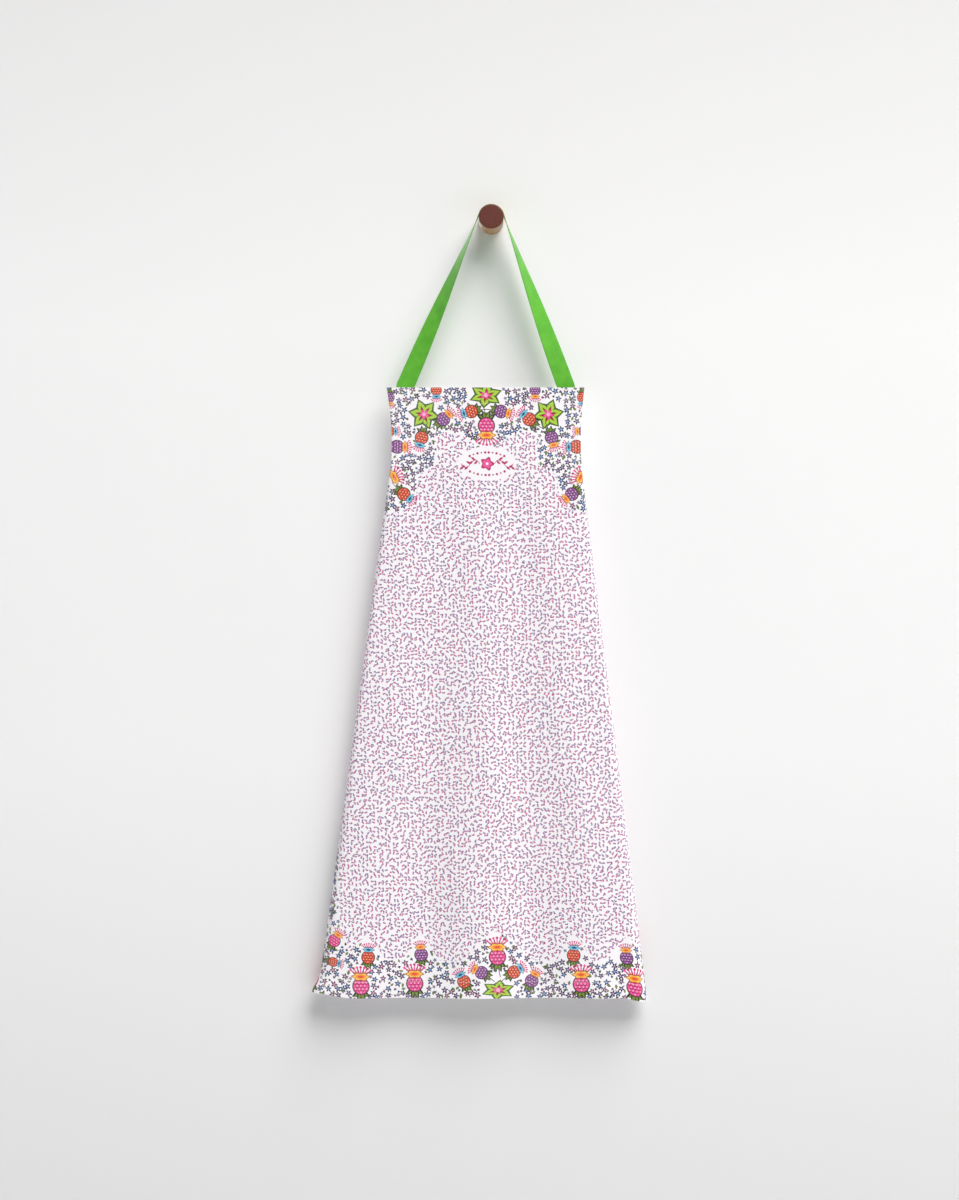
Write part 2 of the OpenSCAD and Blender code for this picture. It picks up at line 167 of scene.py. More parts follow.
# %% Waves, creases and the place of a point
# Each ripple: its height, its rates across and down, and where it starts
FINE_WAVES = ((0.0009, 11.0, 3.0, 0.7), (0.0005, 19.0, -9.0, 0.0))
CREASES = ((0.00035, 31.0, 14.0, 0.0), (0.00025, 57.0, -23.0, 1.3))
CALM_UNDER_HEM = 0.06
CORNER_LIFT, CORNER_DROOP = 0.007, 0.005

def ripples(kinds, across, down):
    return sum(height * math.sin(x * across + z * down + start) for height, x, z, start in kinds)

def wave(v, q):
    """Depth of the waves at the share q of the way from the middle to the fold."""
    share = max(v - WAVE_TOP, 0) / (LENGTH - WAVE_TOP)
    main = WAVE_DEPTH * math.cos(2 * math.pi * (q + WAVE_SHIFT) / WAVE_LENGTH)
    return share * (main + ripples(FINE_WAVES, q, v)) * (1 - q ** 4)

def crease(v, a):
    """Faint unevenness of hanging cotton, in and out."""
    return ease((v - TOP_HEM_W) / CALM_UNDER_HEM) * ripples(CREASES, a, v)

def cloth_point(v, a, off):
    """Place of the cloth at depth v and arc length a, at the distance off behind its printed side."""
    s = LEFT if a < 0 else RIGHT
    front, r = front_half(v, s), fold_r(v)
    past, arc = abs(a) - front, math.pi * r
    if past <= 0:
        x, y = abs(a), off - wave(v, s * abs(a) / front) - crease(v, a) * (1 - (a / front) ** 8)
    elif past < arc:
        x, y = front + (r - off) * math.sin(past / r), r - (r - off) * math.cos(past / r)
    else:
        x, y = front - (past - arc), 2 * r - off
    dip = 2 * FOLD_SLANT[s] * max(past - arc / 2, 0) * (1 - v / LENGTH)
    if s == LEFT:
        lift = CORNER_LIFT * ease((past + 0.045) / 0.06) * ease((v - LENGTH + 0.12) / 0.12) ** 2
    else:
        droop = ease((past + 0.02) / 0.03) * (1 - ease((past - arc) / 0.05))
        lift = -CORNER_DROOP * droop * ease((v - LENGTH + 0.2) / 0.2) ** 2
    return Vector((middle_x(v) + s * x, FRONT + y, BIB_TOP - v - dip + lift))

print("middle of the hem:", [round(c, 4) for c in cloth_point(LENGTH, 0.0, 0.0)])

# %% [markdown]
# ## Colours and shared surface effects
# Printed cotton, webbing and sewing thread are all woven, so one shader group makes the weave:
# two crossing sets of threads, as a height that each material puts through its own Bump node.
# A second group gives slow changes of tone, which keep a large plain surface from looking flat.

# %% Material helpers
def srgb(r, g, b):
    """Colour given from 0 to 255, as linear light."""
    def one(c):
        c = c / 255
        return c / 12.92 if c <= 0.04045 else ((c + 0.055) / 1.055) ** 2.4
    return (one(r), one(g), one(b), 1.0)

def shaded(colour, share):
    """The same colour, darker."""
    return (*(c * share for c in colour[:3]), 1.0)

class Graph:
    """Small helper to place and link nodes in a node tree."""
    def __init__(self, tree):
        self.tree = tree

    def add(self, kind, inputs=None, **settings):
        node = self.tree.nodes.new(kind)
        for key, value in settings.items():
            setattr(node, key, value)
        for key, value in (inputs or {}).items():
            self.put(value, node.inputs[key])
        return node

    def put(self, value, socket):
        if isinstance(value, bpy.types.NodeSocket):
            self.tree.links.new(value, socket)
        else:
            socket.default_value = value

    def math(self, operation, a, b=0.0, clamp=False):
        node = self.add("ShaderNodeMath", {0: a, 1: b}, operation=operation, use_clamp=clamp)
        return node.outputs[0]

    def vector(self, operation, a, b=(0.0, 0.0, 0.0)):
        node = self.add("ShaderNodeVectorMath", {0: a, 1: b}, operation=operation)
        return node.outputs[1] if operation in ("LENGTH", "DOT_PRODUCT") else node.outputs[0]

    def scaled(self, value, factor, base):
        """value times factor, plus base."""
        return self.math("ADD", self.math("MULTIPLY", value, factor), base)

    def flat_place(self):
        """Place on the flat cloth or webbing, in metres."""
        return self.add("ShaderNodeUVMap", uv_map="flat").outputs[0]

    def room_place(self):
        return self.add("ShaderNodeTexCoord").outputs["Object"]

    def part(self, vector, axis):
        return self.add("ShaderNodeSeparateXYZ", {0: vector}).outputs[axis]

    def mix(self, share, a, b):
        node = self.add("ShaderNodeMix", data_type="RGBA")
        for socket, value in zip((node.inputs[0], node.inputs[6], node.inputs[7]), (share, a, b)):
            self.put(value, socket)
        return node.outputs[2]

    def ramp(self, value, low, high):
        """0 below low, 1 above high, straight between them."""
        node = self.add("ShaderNodeMapRange", {0: value, 1: low, 2: high, 3: 0.0, 4: 1.0}, clamp=True)
        return node.outputs[0]

def new_group(name, inputs, outputs, kind_of_tree="ShaderNodeTree"):
    tree = bpy.data.node_groups.new(name, kind_of_tree)
    for label, kind, value in inputs:
        socket = tree.interface.new_socket(label, in_out="INPUT", socket_type=kind)
        if value is not None:
            socket.default_value = value
    for label, kind in outputs:
        tree.interface.new_socket(label, in_out="OUTPUT", socket_type=kind)
    graph = Graph(tree)
    start, end = tree.nodes.new("NodeGroupInput"), tree.nodes.new("NodeGroupOutput")
    return tree, graph, start.outputs, end.inputs

def new_material(name, **constants):
    """A material with a Principled BSDF, whose constants are set on the shader itself."""
    material = bpy.data.materials.new(name)
    material.use_nodes = True
    tree = material.node_tree
    tree.nodes.clear()
    graph = Graph(tree)
    output = graph.add("ShaderNodeOutputMaterial")
    shader = graph.add("ShaderNodeBsdfPrincipled")
    tree.links.new(shader.outputs[0], output.inputs[0])
    for label, value in constants.items():
        shader.inputs[label.replace("_", " ")].default_value = value
    return material, graph, shader

# %% Weave and tone groups
def build_weave():
    """Height of crossed threads from a surface position in metres."""
    tree, g, given, result = new_group("crossed_threads",
        [("Position", "NodeSocketVector", None), ("Across", "NodeSocketFloat", 0.001),
         ("Along", "NodeSocketFloat", 0.001)],
        [("Height", "NodeSocketFloat")])
    threads = []
    for axis, label in enumerate(("Across", "Along")):
        turns = g.math("DIVIDE", g.part(given["Position"], axis), given[label])
        threads.append(g.math("SINE", g.math("MULTIPLY", turns, 2 * math.pi)))
    crossed = g.math("ADD", g.math("MULTIPLY", *threads), 1.0)
    g.put(g.math("MULTIPLY", crossed, 0.5), result["Height"])
    return tree

def build_tone():
    """Slow, uneven change from 0 to 1 over a surface."""
    tree, g, given, result = new_group("uneven_tone",
        [("Position", "NodeSocketVector", None), ("Patches per metre", "NodeSocketFloat", 20.0)],
        [("Tone", "NodeSocketFloat")])
    noise = g.add("ShaderNodeTexNoise", {
        "Vector": given["Position"], "Scale": given["Patches per metre"], "Detail": 3.0, "Roughness": 0.55})
    g.put(g.ramp(noise.outputs[0], 0.3, 0.7), result["Tone"])
    return tree

WEAVE, TONE = build_weave(), build_tone()

def weave_height(g, place, across, along):
    node = g.add("ShaderNodeGroup", node_tree=WEAVE)
    for label, value in (("Position", place), ("Across", across), ("Along", along)):
        g.put(value, node.inputs[label])
    return node.outputs["Height"]

def tone_of(g, place, patches):
    node = g.add("ShaderNodeGroup", node_tree=TONE)
    g.put(place, node.inputs["Position"])
    g.put(patches, node.inputs["Patches per metre"])
    return node.outputs["Tone"]

def bump(g, shader, height, distance, strength=1.0):
    node = g.add("ShaderNodeBump", {"Height": height, "Distance": distance, "Strength": strength})
    g.put(node.outputs[0], shader.inputs["Normal"])

print("shared groups:", WEAVE.name, TONE.name)

# %% [markdown]
# ## Printed cotton
# The cloth carries two prints. A sprig of a bud and a curved stalk, a few millimetres across,
# covers most of it: that is repeated thousands of times, so the shader draws it, one sprig in
# each cell of a Voronoi pattern on the flat pattern's own measure. The border's flowers are
# larger and differ, so they are cut into the mesh itself, and each face carries its ink as a
# colour attribute. The attribute's alpha says where the sprigs are printed.

# %% Printed cotton material
SPRIG_CELL = 0.0054
SPRIG_INK, STALK_INK, SHADE_INK = srgb(186, 36, 112), srgb(140, 108, 160), srgb(116, 62, 126)

def sprig_masks(g, flat):
    """Masks of the buds and of the stalks, and a random number for each cell."""
    cells = g.add("ShaderNodeTexVoronoi", {
        "Vector": flat, "Scale": 1 / SPRIG_CELL, "Randomness": 0.86}, voronoi_dimensions="2D")
    random_of = g.add("ShaderNodeSeparateColor", {0: cells.outputs["Color"]})
    away = g.vector("SCALE", g.vector("SUBTRACT", flat, cells.outputs["Position"]))
    away.node.inputs["Scale"].default_value = 1 / SPRIG_CELL
    angle = g.math("MULTIPLY", random_of.outputs[0], 2 * math.pi)
    rotate = g.add("ShaderNodeVectorRotate", {"Vector": away, "Angle": angle}, rotation_type="Z_AXIS")
    turned = rotate.outputs[0]
    def oval(centre, size):
        moved = g.vector("SUBTRACT", turned, (centre[0], centre[1], 0))
        return g.vector("LENGTH", g.vector("DIVIDE", moved, (size[0], size[1], 1)))
    bud = g.ramp(oval((0.0, 0.22), (0.20, 0.24)), 1.12, 0.9)
    leaf = g.ramp(oval((0.21, -0.16), (0.09, 0.20)), 1.12, 0.9)
    bow = g.vector("LENGTH", g.vector("SUBTRACT", turned, (0.34, 0.02, 0)))
    stalk = g.ramp(g.math("ABSOLUTE", g.math("SUBTRACT", bow, 0.38)), 0.10, 0.06)
    stalk = g.math("MULTIPLY", stalk, g.ramp(g.part(turned, 0), 0.28, 0.2))
    stalk = g.math("MULTIPLY", stalk, g.ramp(oval((0.0, 0.0), (0.5, 0.5)), 1.0, 0.95))
    return bud, g.math("MAXIMUM", stalk, leaf), random_of.outputs[1]

def make_cotton(name, fade):
    """Printed cotton. fade is how much of the print is lost, 0 on the printed side."""
    material, g, shader = new_material(name, Sheen_Weight=0.15, Sheen_Roughness=0.5,
                                       Specular_IOR_Level=0.25)
    ink = g.add("ShaderNodeVertexColor", layer_name="print")
    flat = g.flat_place()
    bud, stalk, pick = sprig_masks(g, flat)
    bud_ink = g.mix(g.ramp(pick, 0.55, 0.75), SPRIG_INK, SHADE_INK)
    drawn = g.mix(g.math("MULTIPLY", stalk, ink.outputs[1]), ink.outputs[0], STALK_INK)
    drawn = g.mix(g.math("MULTIPLY", bud, ink.outputs[1]), drawn, bud_ink)
    tone = tone_of(g, flat, 9.0)
    worn = g.mix(g.math("MULTIPLY", tone, 0.05), drawn, srgb(250, 246, 252))
    g.put(g.mix(fade, worn, srgb(244, 241, 246)), shader.inputs["Base Color"])
    g.put(g.scaled(tone, 0.08, 0.80), shader.inputs["Roughness"])
    fine = weave_height(g, flat, 0.0009, 0.0009)
    rough = g.math("MULTIPLY", tone_of(g, flat, 160.0), 0.6)
    bump(g, shader, g.math("ADD", fine, rough), 0.00006, 0.8)
    return material

COTTON = make_cotton("printed_cotton", 0.0)
COTTON_BACK = make_cotton("cotton_wrong_side", 0.78)
COTTON_HEM = make_cotton("cotton_hem", 0.72)
print("cottons:", COTTON.name, COTTON_BACK.name, COTTON_HEM.name)

# %% [markdown]
# ## Webbing, thread, label, wood, steel and nylon
# The strap is ribbed cotton webbing. Its ribs run across it, so its material reads the strip's
# own map: across it first, then along it. The wood's rings are drawn round the peg's axis, and
# are darkest on the end grain, which soaks up the oil.

# %% Webbing
RIB = 0.0013

def make_webbing():
    material, g, shader = new_material("green_webbing", Sheen_Weight=0.25, Sheen_Roughness=0.45,
                                       Specular_IOR_Level=0.3)
    flat = g.flat_place()
    tone = tone_of(g, flat, 60.0)
    base = g.mix(tone, srgb(74, 162, 32), srgb(96, 184, 46))
    rib = g.math("SINE", g.math("MULTIPLY", g.part(flat, 1), 2 * math.pi / RIB))
    rib = g.math("MULTIPLY", g.math("ADD", rib, 1.0), 0.5)
    # Painted shade: the green is darkened along both selvedges, where the rounded edges turn from the light.
    edge = g.ramp(g.math("ABSOLUTE", g.part(flat, 0)), STRAP_W / 2 - 0.0016, STRAP_W / 2 - 0.0008)
    selvedge_shaded = g.mix(g.math("MULTIPLY", edge, 0.25), base, srgb(50, 124, 24))
    g.put(g.mix(g.math("MULTIPLY", rib, 0.18), selvedge_shaded, srgb(128, 208, 78)), shader.inputs["Base Color"])
    g.put(g.scaled(tone, 0.12, 0.62), shader.inputs["Roughness"])
    fine = weave_height(g, flat, 0.0006, RIB)
    bump(g, shader, g.math("ADD", rib, g.math("MULTIPLY", fine, 0.4)), 0.00015, 0.7)
    return material

WEBBING = make_webbing()
print("webbing:", WEBBING.name)

# %% Thread, label, steel and nylon
def toned_material(name, patches, light, dark, rough, **constants):
    """Material whose colour and roughness change slowly. rough is its lowest and what is added."""
    material, g, shader = new_material(name, **constants)
    place = g.room_place()
    tone = tone_of(g, place, patches)
    g.put(g.mix(tone, light, dark), shader.inputs["Base Color"])
    g.put(g.scaled(tone, rough[1], rough[0]), shader.inputs["Roughness"])
    return material, g, shader, place, tone

def make_label():
    material, g, shader, place, tone = toned_material(
        "label_satin", 120.0, srgb(244, 244, 242), srgb(234, 234, 232), (0.38, 0.1),
        Sheen_Weight=0.3, Specular_IOR_Level=0.5)
    rib = g.math("SINE", g.math("MULTIPLY", g.part(place, 2), 2 * math.pi / 0.0007))
    bump(g, shader, rib, 0.00004, 0.6)
    return material

def make_nylon():
    material, g, shader, place, tone = toned_material(
        "grey_nylon", 250.0, srgb(198, 198, 194), srgb(184, 184, 182), (0.5, 0.1))
    bump(g, shader, tone, 0.00005, 0.4)
    return material

WHITE = srgb(246, 244, 238)
THREAD = toned_material("white_thread", 900.0, WHITE, shaded(WHITE, 0.86), (0.55, 0.15),
                        Sheen_Weight=0.2, Specular_IOR_Level=0.35)[0]
STEEL = toned_material("zinc_steel", 300.0, srgb(196, 196, 190), srgb(164, 166, 164), (0.28, 0.2),
                       Metallic=1.0)[0]
LABEL, NYLON = make_label(), make_nylon()
print("small parts:", THREAD.name, STEEL.name, LABEL.name, NYLON.name)

# %% Wood
RING_GAP = 0.0024

def make_wood():
    material, g, shader = new_material("peg_wood", Coat_Weight=0.12, Coat_Roughness=0.35)
    place = g.room_place()
    moved = g.vector("ADD", place, (0.011, 0.0, 0.019))
    squeezed = g.vector("MULTIPLY", moved, (1.0, 0.06, 1.0))
    sway = g.add("ShaderNodeTexNoise", {"Vector": squeezed, "Scale": 70.0, "Detail": 2.0}).outputs[1]
    sway = g.vector("SCALE", g.vector("SUBTRACT", sway, (0.5, 0.5, 0.5)))
    sway.node.inputs["Scale"].default_value = 0.006
    reach = g.vector("LENGTH", g.vector("MULTIPLY", g.vector("ADD", moved, sway), (1.0, 0.0, 1.0)))
    rings = g.ramp(g.math("SINE", g.math("MULTIPLY", reach, 2 * math.pi / RING_GAP)), -0.2, 0.95)
    drawn_out = g.vector("MULTIPLY", place, (1.0, 0.05, 1.0))
    fibre = g.add("ShaderNodeTexNoise", {"Vector": drawn_out, "Scale": 900.0, "Detail": 2.0}).outputs[0]
    side = g.mix(rings, srgb(192, 144, 96), srgb(168, 118, 74))
    end = g.mix(rings, srgb(116, 52, 38), srgb(58, 22, 18))
    on_end = g.ramp(g.part(place, 1), PEG_FRONT + 0.0016, PEG_FRONT + 0.0006)
    dark_fibre = g.math("MULTIPLY", g.ramp(fibre, 0.4, 0.75), 0.35)
    g.put(g.mix(dark_fibre, g.mix(on_end, side, end), srgb(84, 48, 34)), shader.inputs["Base Color"])
    g.put(g.scaled(rings, 0.12, 0.42), shader.inputs["Roughness"])
    bump(g, shader, g.math("ADD", rings, fibre), 0.0001, 0.5)
    return material

WOOD = make_wood()
print("materials:", [m.name for m in bpy.data.materials])

# %% [markdown]
# ## The border's print
# The border is drawn as flat polygons in millimetres on the pattern, laid over each other from
# the ground up, as a printer lays inks. Each motif is a small function that draws upwards from
# its own origin; a pen puts it in place, turns it, and mirrors it for the other half. The
# motifs are plain garden shapes: starry leaves, round seed heads with an open cup and a fan of
# stamens, small five-petalled flowers, leaves and stalks.

# %% Inks
SINGLE_INKS = {"ground": (249, 246, 250), "outline": (66, 44, 60), "stem": (74, 70, 46),
               "lime": (172, 210, 66), "lime_dark": (62, 92, 26),
               "olive": (120, 146, 52), "olive_dark": (40, 54, 24)}
SHADED_INKS = {  # outline, petal and highlight
    "pink": ((178, 30, 96), (240, 84, 154), (253, 176, 210)),
    "red": ((138, 30, 34), (232, 84, 54), (252, 180, 140)),
    "purple": ((72, 34, 84), (150, 84, 154), (222, 178, 218)),
    "orange": ((168, 74, 30), (248, 150, 48), (254, 206, 96)),
    "blue": ((36, 70, 112), (78, 168, 206), (150, 214, 232)),
    "denim": ((20, 22, 54), (56, 90, 158), (150, 178, 212)),
    "grape": ((34, 20, 48), (90, 58, 116), (186, 164, 198)),
    "mauve": ((56, 20, 54), (142, 62, 118), (218, 180, 204)),
}
INK = {name: srgb(*rgb) for name, rgb in SINGLE_INKS.items()}
for name, shades in SHADED_INKS.items():
    INK.update({name + end: srgb(*rgb) for end, rgb in zip(("_dark", "", "_light"), shades)})
print("inks:", len(INK))

# %% Shapes drawn in millimetres
def ring(r, count, stretch=1.0, lobes=0, depth=0.0, centre=(0.0, 0.0), start=0.0):
    """Circle, oval or rosette."""
    points = []
    for k in range(count):
        t = start + 2 * math.pi * k / count
        reach = r * (1 + depth * math.cos(lobes * t))
        points.append((centre[0] + reach * math.cos(t), centre[1] + reach * stretch * math.sin(t)))
    return points

def leaning(points, lean, base):
    """Points turned clockwise from straight up, in degrees, and moved to a base."""
    c, s = math.cos(math.radians(lean)), math.sin(math.radians(lean))
    return [(base[0] + x * c + y * s, base[1] - x * s + y * c) for x, y in points]

def spear(length, width, lean=0.0, base=(0.0, 0.0), blunt=0.62):
    """Leaf or petal from its base."""
    half = width / 2
    outline = [(0, 0), (half * 0.8, length * 0.28), (half, length * blunt * 0.8), (0, length),
               (-half, length * blunt * 0.8), (-half * 0.8, length * 0.28)]
    return leaning(outline, lean, base)

def thorn(length, width, lean, base=(0.0, 0.0)):
    """Thin blunt triangle, for a stamen."""
    outline = [(-width / 2, 0), (width / 2, 0), (width * 0.2, length), (-width * 0.2, length)]
    return leaning(outline, lean, base)

class Pen:
    """Puts shapes at a place on the pattern: x across, v down, turned clockwise from upright."""
    def __init__(self, sheet, x, v, turn=0.0, side=RIGHT):
        self.sheet, self.x, self.v, self.side = sheet, x, v, side
        self.c, self.s = math.cos(math.radians(turn)), math.sin(math.radians(turn))

    def lay(self, ink, points):
        placed = []
        for across, up in points:
            x = self.x + across * self.c + up * self.s
            y = -self.v + up * self.c - across * self.s
            placed.append((self.side * x, y))
        self.sheet.append((ink, placed))

# %% Motifs
def rosette(r, notch=0.45):
    """Five rounded petals."""
    return ring(r / (1 + notch), 20, lobes=5, depth=notch)

def draw_floret(pen, r, ink):
    pen.lay(ink + "_dark", rosette(r))
    pen.lay(ink, rosette(r * 0.62, 0.5))
    pen.lay(ink + "_light", ring(r * 0.28, 5, start=0.6))

def draw_bud(pen, r, ink):
    """Closed flower with two small leaves."""
    for lean in (-60, 60):
        pen.lay("olive_dark", spear(r * 1.3, r * 0.7, lean, (0, -r * 0.5)))
    pen.lay(ink + "_dark", spear(r * 2.0, r * 1.2, 0, (0, -r * 0.8)))
    pen.lay(ink, spear(r * 1.4, r * 0.7, 0, (0, -r * 0.5)))

def draw_leaf(pen, length):
    pen.lay("olive_dark", spear(length, length * 0.5))
    pen.lay("olive", spear(length * 0.74, length * 0.28, base=(0, length * 0.12)))

def draw_cup(pen, r, ink, up):
    """Open flower seen from the side, with a fan of stamens above it."""
    for k in range(-3, 4):
        lean, base = 17 * k, (0.13 * k * r, up + 0.1 * r)
        tip = leaning([(0.0, r)], lean, base)[0]
        pen.lay("pink_dark" if k % 2 else "pink", thorn(r, r * 0.26, lean, base))
        pen.lay("pink" if k % 2 else "pink_dark", ring(r * 0.17, 5, centre=tip))
    pen.lay(ink + "_dark", ring(r, 24, 0.50, 6, 0.16, (0, up), 0.26))
    pen.lay(ink + "_light", ring(r * 0.87, 24, 0.44, 6, 0.16, (0, up), 0.26))
    pen.lay(ink, ring(r * 0.64, 12, 0.42, centre=(0, up)))
    pen.lay("red" if ink == "orange" else "denim_dark", ring(r * 0.36, 8, 0.40, centre=(0, up)))

def draw_head(pen, r, ink, cup_ink, cup_size):
    """Round seed head on a stalk, with leaves under it and a cup on top."""
    draw_stalk(pen, r * 2.3, r * 0.3)
    for lean in (-118, 118, 158, 202):
        pen.lay("olive_dark", spear(r * 1.2, r * 0.62, lean, (0, -r * 0.62)))
        pen.lay("olive", spear(r * 0.9, r * 0.36, lean, (0, -r * 0.7)))
    pen.lay("outline", ring(r, 20))
    pen.lay(ink, ring(r * 0.88, 20))
    for row in range(-2, 3):
        for column in range(-2, 3):
            x, y = (column + 0.5 * (row % 2)) * r * 0.42, row * r * 0.37
            if math.hypot(x, y) < r * 0.78:
                pen.lay(ink + "_dark", ring(r * 0.19, 6, centre=(x, y - r * 0.03)))
                pen.lay(ink + "_light", ring(r * 0.125, 5, 0.9, centre=(x, y + r * 0.05), start=0.3))
    draw_cup(pen, r * cup_size, cup_ink, r * 1.1)

def draw_star(pen, r, stretch=1.0):
    """Rosette of six broad leaves with a pink flower at its centre."""
    def lay(ink, points):
        pen.lay(ink, [(x, y * stretch) for x, y in points])
    for ink, length, width in (("lime_dark", 1.0, 0.62), ("lime", 0.87, 0.44), ("red_dark", 0.58, 0.15)):
        for k in range(6):
            lay(ink, spear(r * length, r * width, 60 * k + 8, blunt=0.7))
    lay("pink_dark", rosette(r * 0.4))
    lay("pink", rosette(r * 0.33, 0.35))
    pen.lay("pink_light", ring(r * 0.12, 6))

def draw_stalk(pen, length, bend):
    """Bent stalk downwards from the origin."""
    steps, half = 3, 0.55
    middle = [(bend * (k / steps) ** 2, -length * k / steps) for k in range(steps + 1)]
    pen.lay("stem", [(x - half, y) for x, y in middle] + [(x + half, y) for x, y in reversed(middle)])

# %% [markdown]
# ## Where the motifs go
# The large motifs are listed for the right half and mirrored, with the two inks of a
# pair swapped on the left, so that the halves balance without being copies. The small flowers
# and leaves between them are scattered: places are tried at random, from a fixed seed, and
# kept where they fall inside the border and clear of what is already there.

# %% Large motifs
# Kind, across, down, turn and radius, then the inks: a pair swaps its inks on the left
PAIRS = {"red_purple": (("red", "blue"), ("purple", "orange")),
         "purple_red": (("purple", "orange"), ("red", "blue")),
         "pink": (("pink", "orange"), ("pink", "orange"))}
BIG_HEAD, BIG_STAR = 12.4, 25
TOP_MOTIFS = [
    ("star", 88, 38, 12, 23, None), ("head", 21, 34, 105, 9.8, "purple_red"),
    ("head", 61, 45, -48, 10, "red_purple"), ("head", 92, 71, 165, 9.8, "purple_red"),
    ("head", 127, 84, -92, 10, "red_purple"), ("head", 137, 14, 180, 8, "red_purple"),
    ("head", 137, 62, -90, 7.5, "purple_red"), ("cup", 132, 127, -65, 11, "orange"),
    ("head", 119, 151, -128, 9.8, "purple_red"), ("head", 70, 4, 180, 8, "purple_red"),
]
BOTTOM_MOTIFS = [
    ("head", 23, 828, 62, 9.6, "red_purple"), ("head", 48, 841, 28, 9.8, "purple_red"),
    ("head", 108, 804, 4, 9.8, "red_purple"), ("head", 118, 845, 0, BIG_HEAD, "pink"),
    ("head", 183, 807, -4, 9.8, "purple_red"), ("head", 194, 848, 0, BIG_HEAD, "pink"),
    ("head", 231, 784, -35, 9.5, "pink"), ("head", 233, 816, -100, 7.6, "purple_red"),
    ("head", 258, 806, 20, 9.6, "red_purple"), ("head", 270, 846, 0, BIG_HEAD, "pink"),
    ("head", 294, 812, -30, 9.6, "purple_red"),
]
EDGE_MOTIFS = [("sprig", 228, 663, -20, 6, None), ("sprig", 236, 742, 15, 6, None),
               ("sprig", 232, 700, 200, 5, None)]
MIDDLE_MOTIFS = [("star", 0, 11, 0, BIG_STAR, None), ("head", 0, 54, 180, BIG_HEAD, "pink"),
                 ("star", 0, 853, 0, BIG_STAR, None), ("head", 0, 806, 0, BIG_HEAD, "pink")]

def draw_motif(sheet, motif, side):
    kind, x, v, turn, r, inks = motif
    pen = Pen(sheet, x, v, turn, side)
    if kind == "star":
        draw_star(pen, r)
    elif kind == "cup":
        draw_cup(pen, r, inks, 0)
    elif kind == "sprig":
        draw_stalk(pen, r * 2.2, 3)
        for k in range(3):
            angle = math.radians(120 * k)
            spot = Pen(sheet, x + r * 0.7 * math.cos(angle), v + r * 0.7 * math.sin(angle), 40 * k, side)
            draw_floret(spot, r * 0.62, "denim" if k else "grape")
    else:
        ink, cup_ink = PAIRS[inks][0 if side == RIGHT else 1]
        draw_head(pen, r, ink, cup_ink, 0.98 if r == BIG_HEAD else 0.8)

def keep_clear(motifs):
    """Circles that the small flowers stay out of: each head, and its cup."""
    circles = []
    for kind, x, v, turn, r, _ in motifs:
        c, s = math.cos(math.radians(turn)), math.sin(math.radians(turn))
        circles.append((x, v, r * (1.0 if kind == "star" else 1.18)))
        if kind == "head":
            circles.append((x + s * r * 1.5, v - c * r * 1.5, r * 0.95))
    return circles

CLEAR = keep_clear(TOP_MOTIFS + BOTTOM_MOTIFS + MIDDLE_MOTIFS)
print("large motifs:", len(TOP_MOTIFS + BOTTOM_MOTIFS + EDGE_MOTIFS) * 2 + len(MIDDLE_MOTIFS))

# %% The sprigs' field and the pink ornament
FIELD_TOP = [(0, 92), (16, 82), (33, 69), (60, 62), (74, 74), (68, 90), (74, 112), (98, 124), (100, 146),
             (106, 168), (124, 176), (160, 178)]
FIELD_BOTTOM = [(0, 770), (18, 778), (34, 796), (52, 812), (84, 812), (96, 788), (108, 772), (120, 786),
                (134, 812), (160, 808), (172, 790), (184, 776), (198, 786), (208, 800), (216, 776),
                (222, 752), (222, 650), (229, 640), (310, 640)]
FIELD_EDGE = 330

def field_outline(side):
    """Half of the field's outline, from the middle of the top round to the middle of the bottom."""
    half = FIELD_TOP + [(FIELD_EDGE, FIELD_TOP[-1][1])] + FIELD_BOTTOM[::-1]
    return [(side * x, -v) for x, v in half]

def short_edges(points, longest=2.5):
    """The closed outline with every edge cut into short ones, so that it can follow the rolls."""
    fine = []
    for k, (x, y) in enumerate(points):
        x0, y0 = points[k - 1]
        count = max(math.ceil(math.hypot(x - x0, y - y0) / longest), 1)
        fine += [(mix(x0, x, j / count), mix(y0, y, j / count)) for j in range(1, count + 1)]
    return fine

FIELD = field_outline(RIGHT) + field_outline(LEFT)[-2:0:-1]

def inside(x, y, outline):
    hit = False
    for k, (x1, y1) in enumerate(outline):
        x0, y0 = outline[k - 1]
        if (y0 > y) != (y1 > y) and x < (x1 - x0) * (y - y0) / (y1 - y0) + x0:
            hit = not hit
    return hit

def near_inside(x, y, outline, reach):
    """Whether any of eight places round a point is inside the outline."""
    return any(inside(px, py, outline) for px, py in ring(reach, 8, centre=(x, y)))

def draw_ornament(sheet):
    """Small pink flourish at the middle of the bib: a flower between two leafy scrolls."""
    middle = Pen(sheet, 0, 108)
    middle.lay("clear", ring(42, 32, 0.58))
    for side in (LEFT, RIGHT):
        pen = Pen(sheet, 0, 108, 0, side)
        curve = [(10 + 27 * k / 8, 5.5 * math.sin(math.pi * 2 * k / 8)) for k in range(9)]
        pen.lay("pink_dark", [(x, y + 0.7) for x, y in curve] + [(x, y - 0.7) for x, y in curve[::-1]])
        for k, place in enumerate(curve[1:-1]):
            pen.lay("pink_dark", spear(7.5, 3.4, 60 if k % 2 else 130, place))
        for up in (16, -16):
            for k in range(5):
                place = (2.5 + 5.5 * k, up - 0.02 * k * k * up)
                pen.lay("pink_dark", ring(1.3 if k % 2 else 1.9, 6, centre=place))
    middle.lay("pink_dark", ring(8.5, 25, lobes=5, depth=0.22, start=0.314))
    middle.lay("pink", ring(6.2, 20, lobes=5, depth=0.2, start=0.314))
    middle.lay("ground", ring(2.0, 8))

print("the field's outline:", len(FIELD), "corners")

# %% Small flowers and leaves
FLOWER_INKS = ("denim", "grape", "denim", "mauve", "grape")
FLOWER_GAP, FILLER_GAP = 7.2, 4.0
BANDS = ((1, 176, 150), (640, 864, 312))  # lowest and highest depth, and half the width

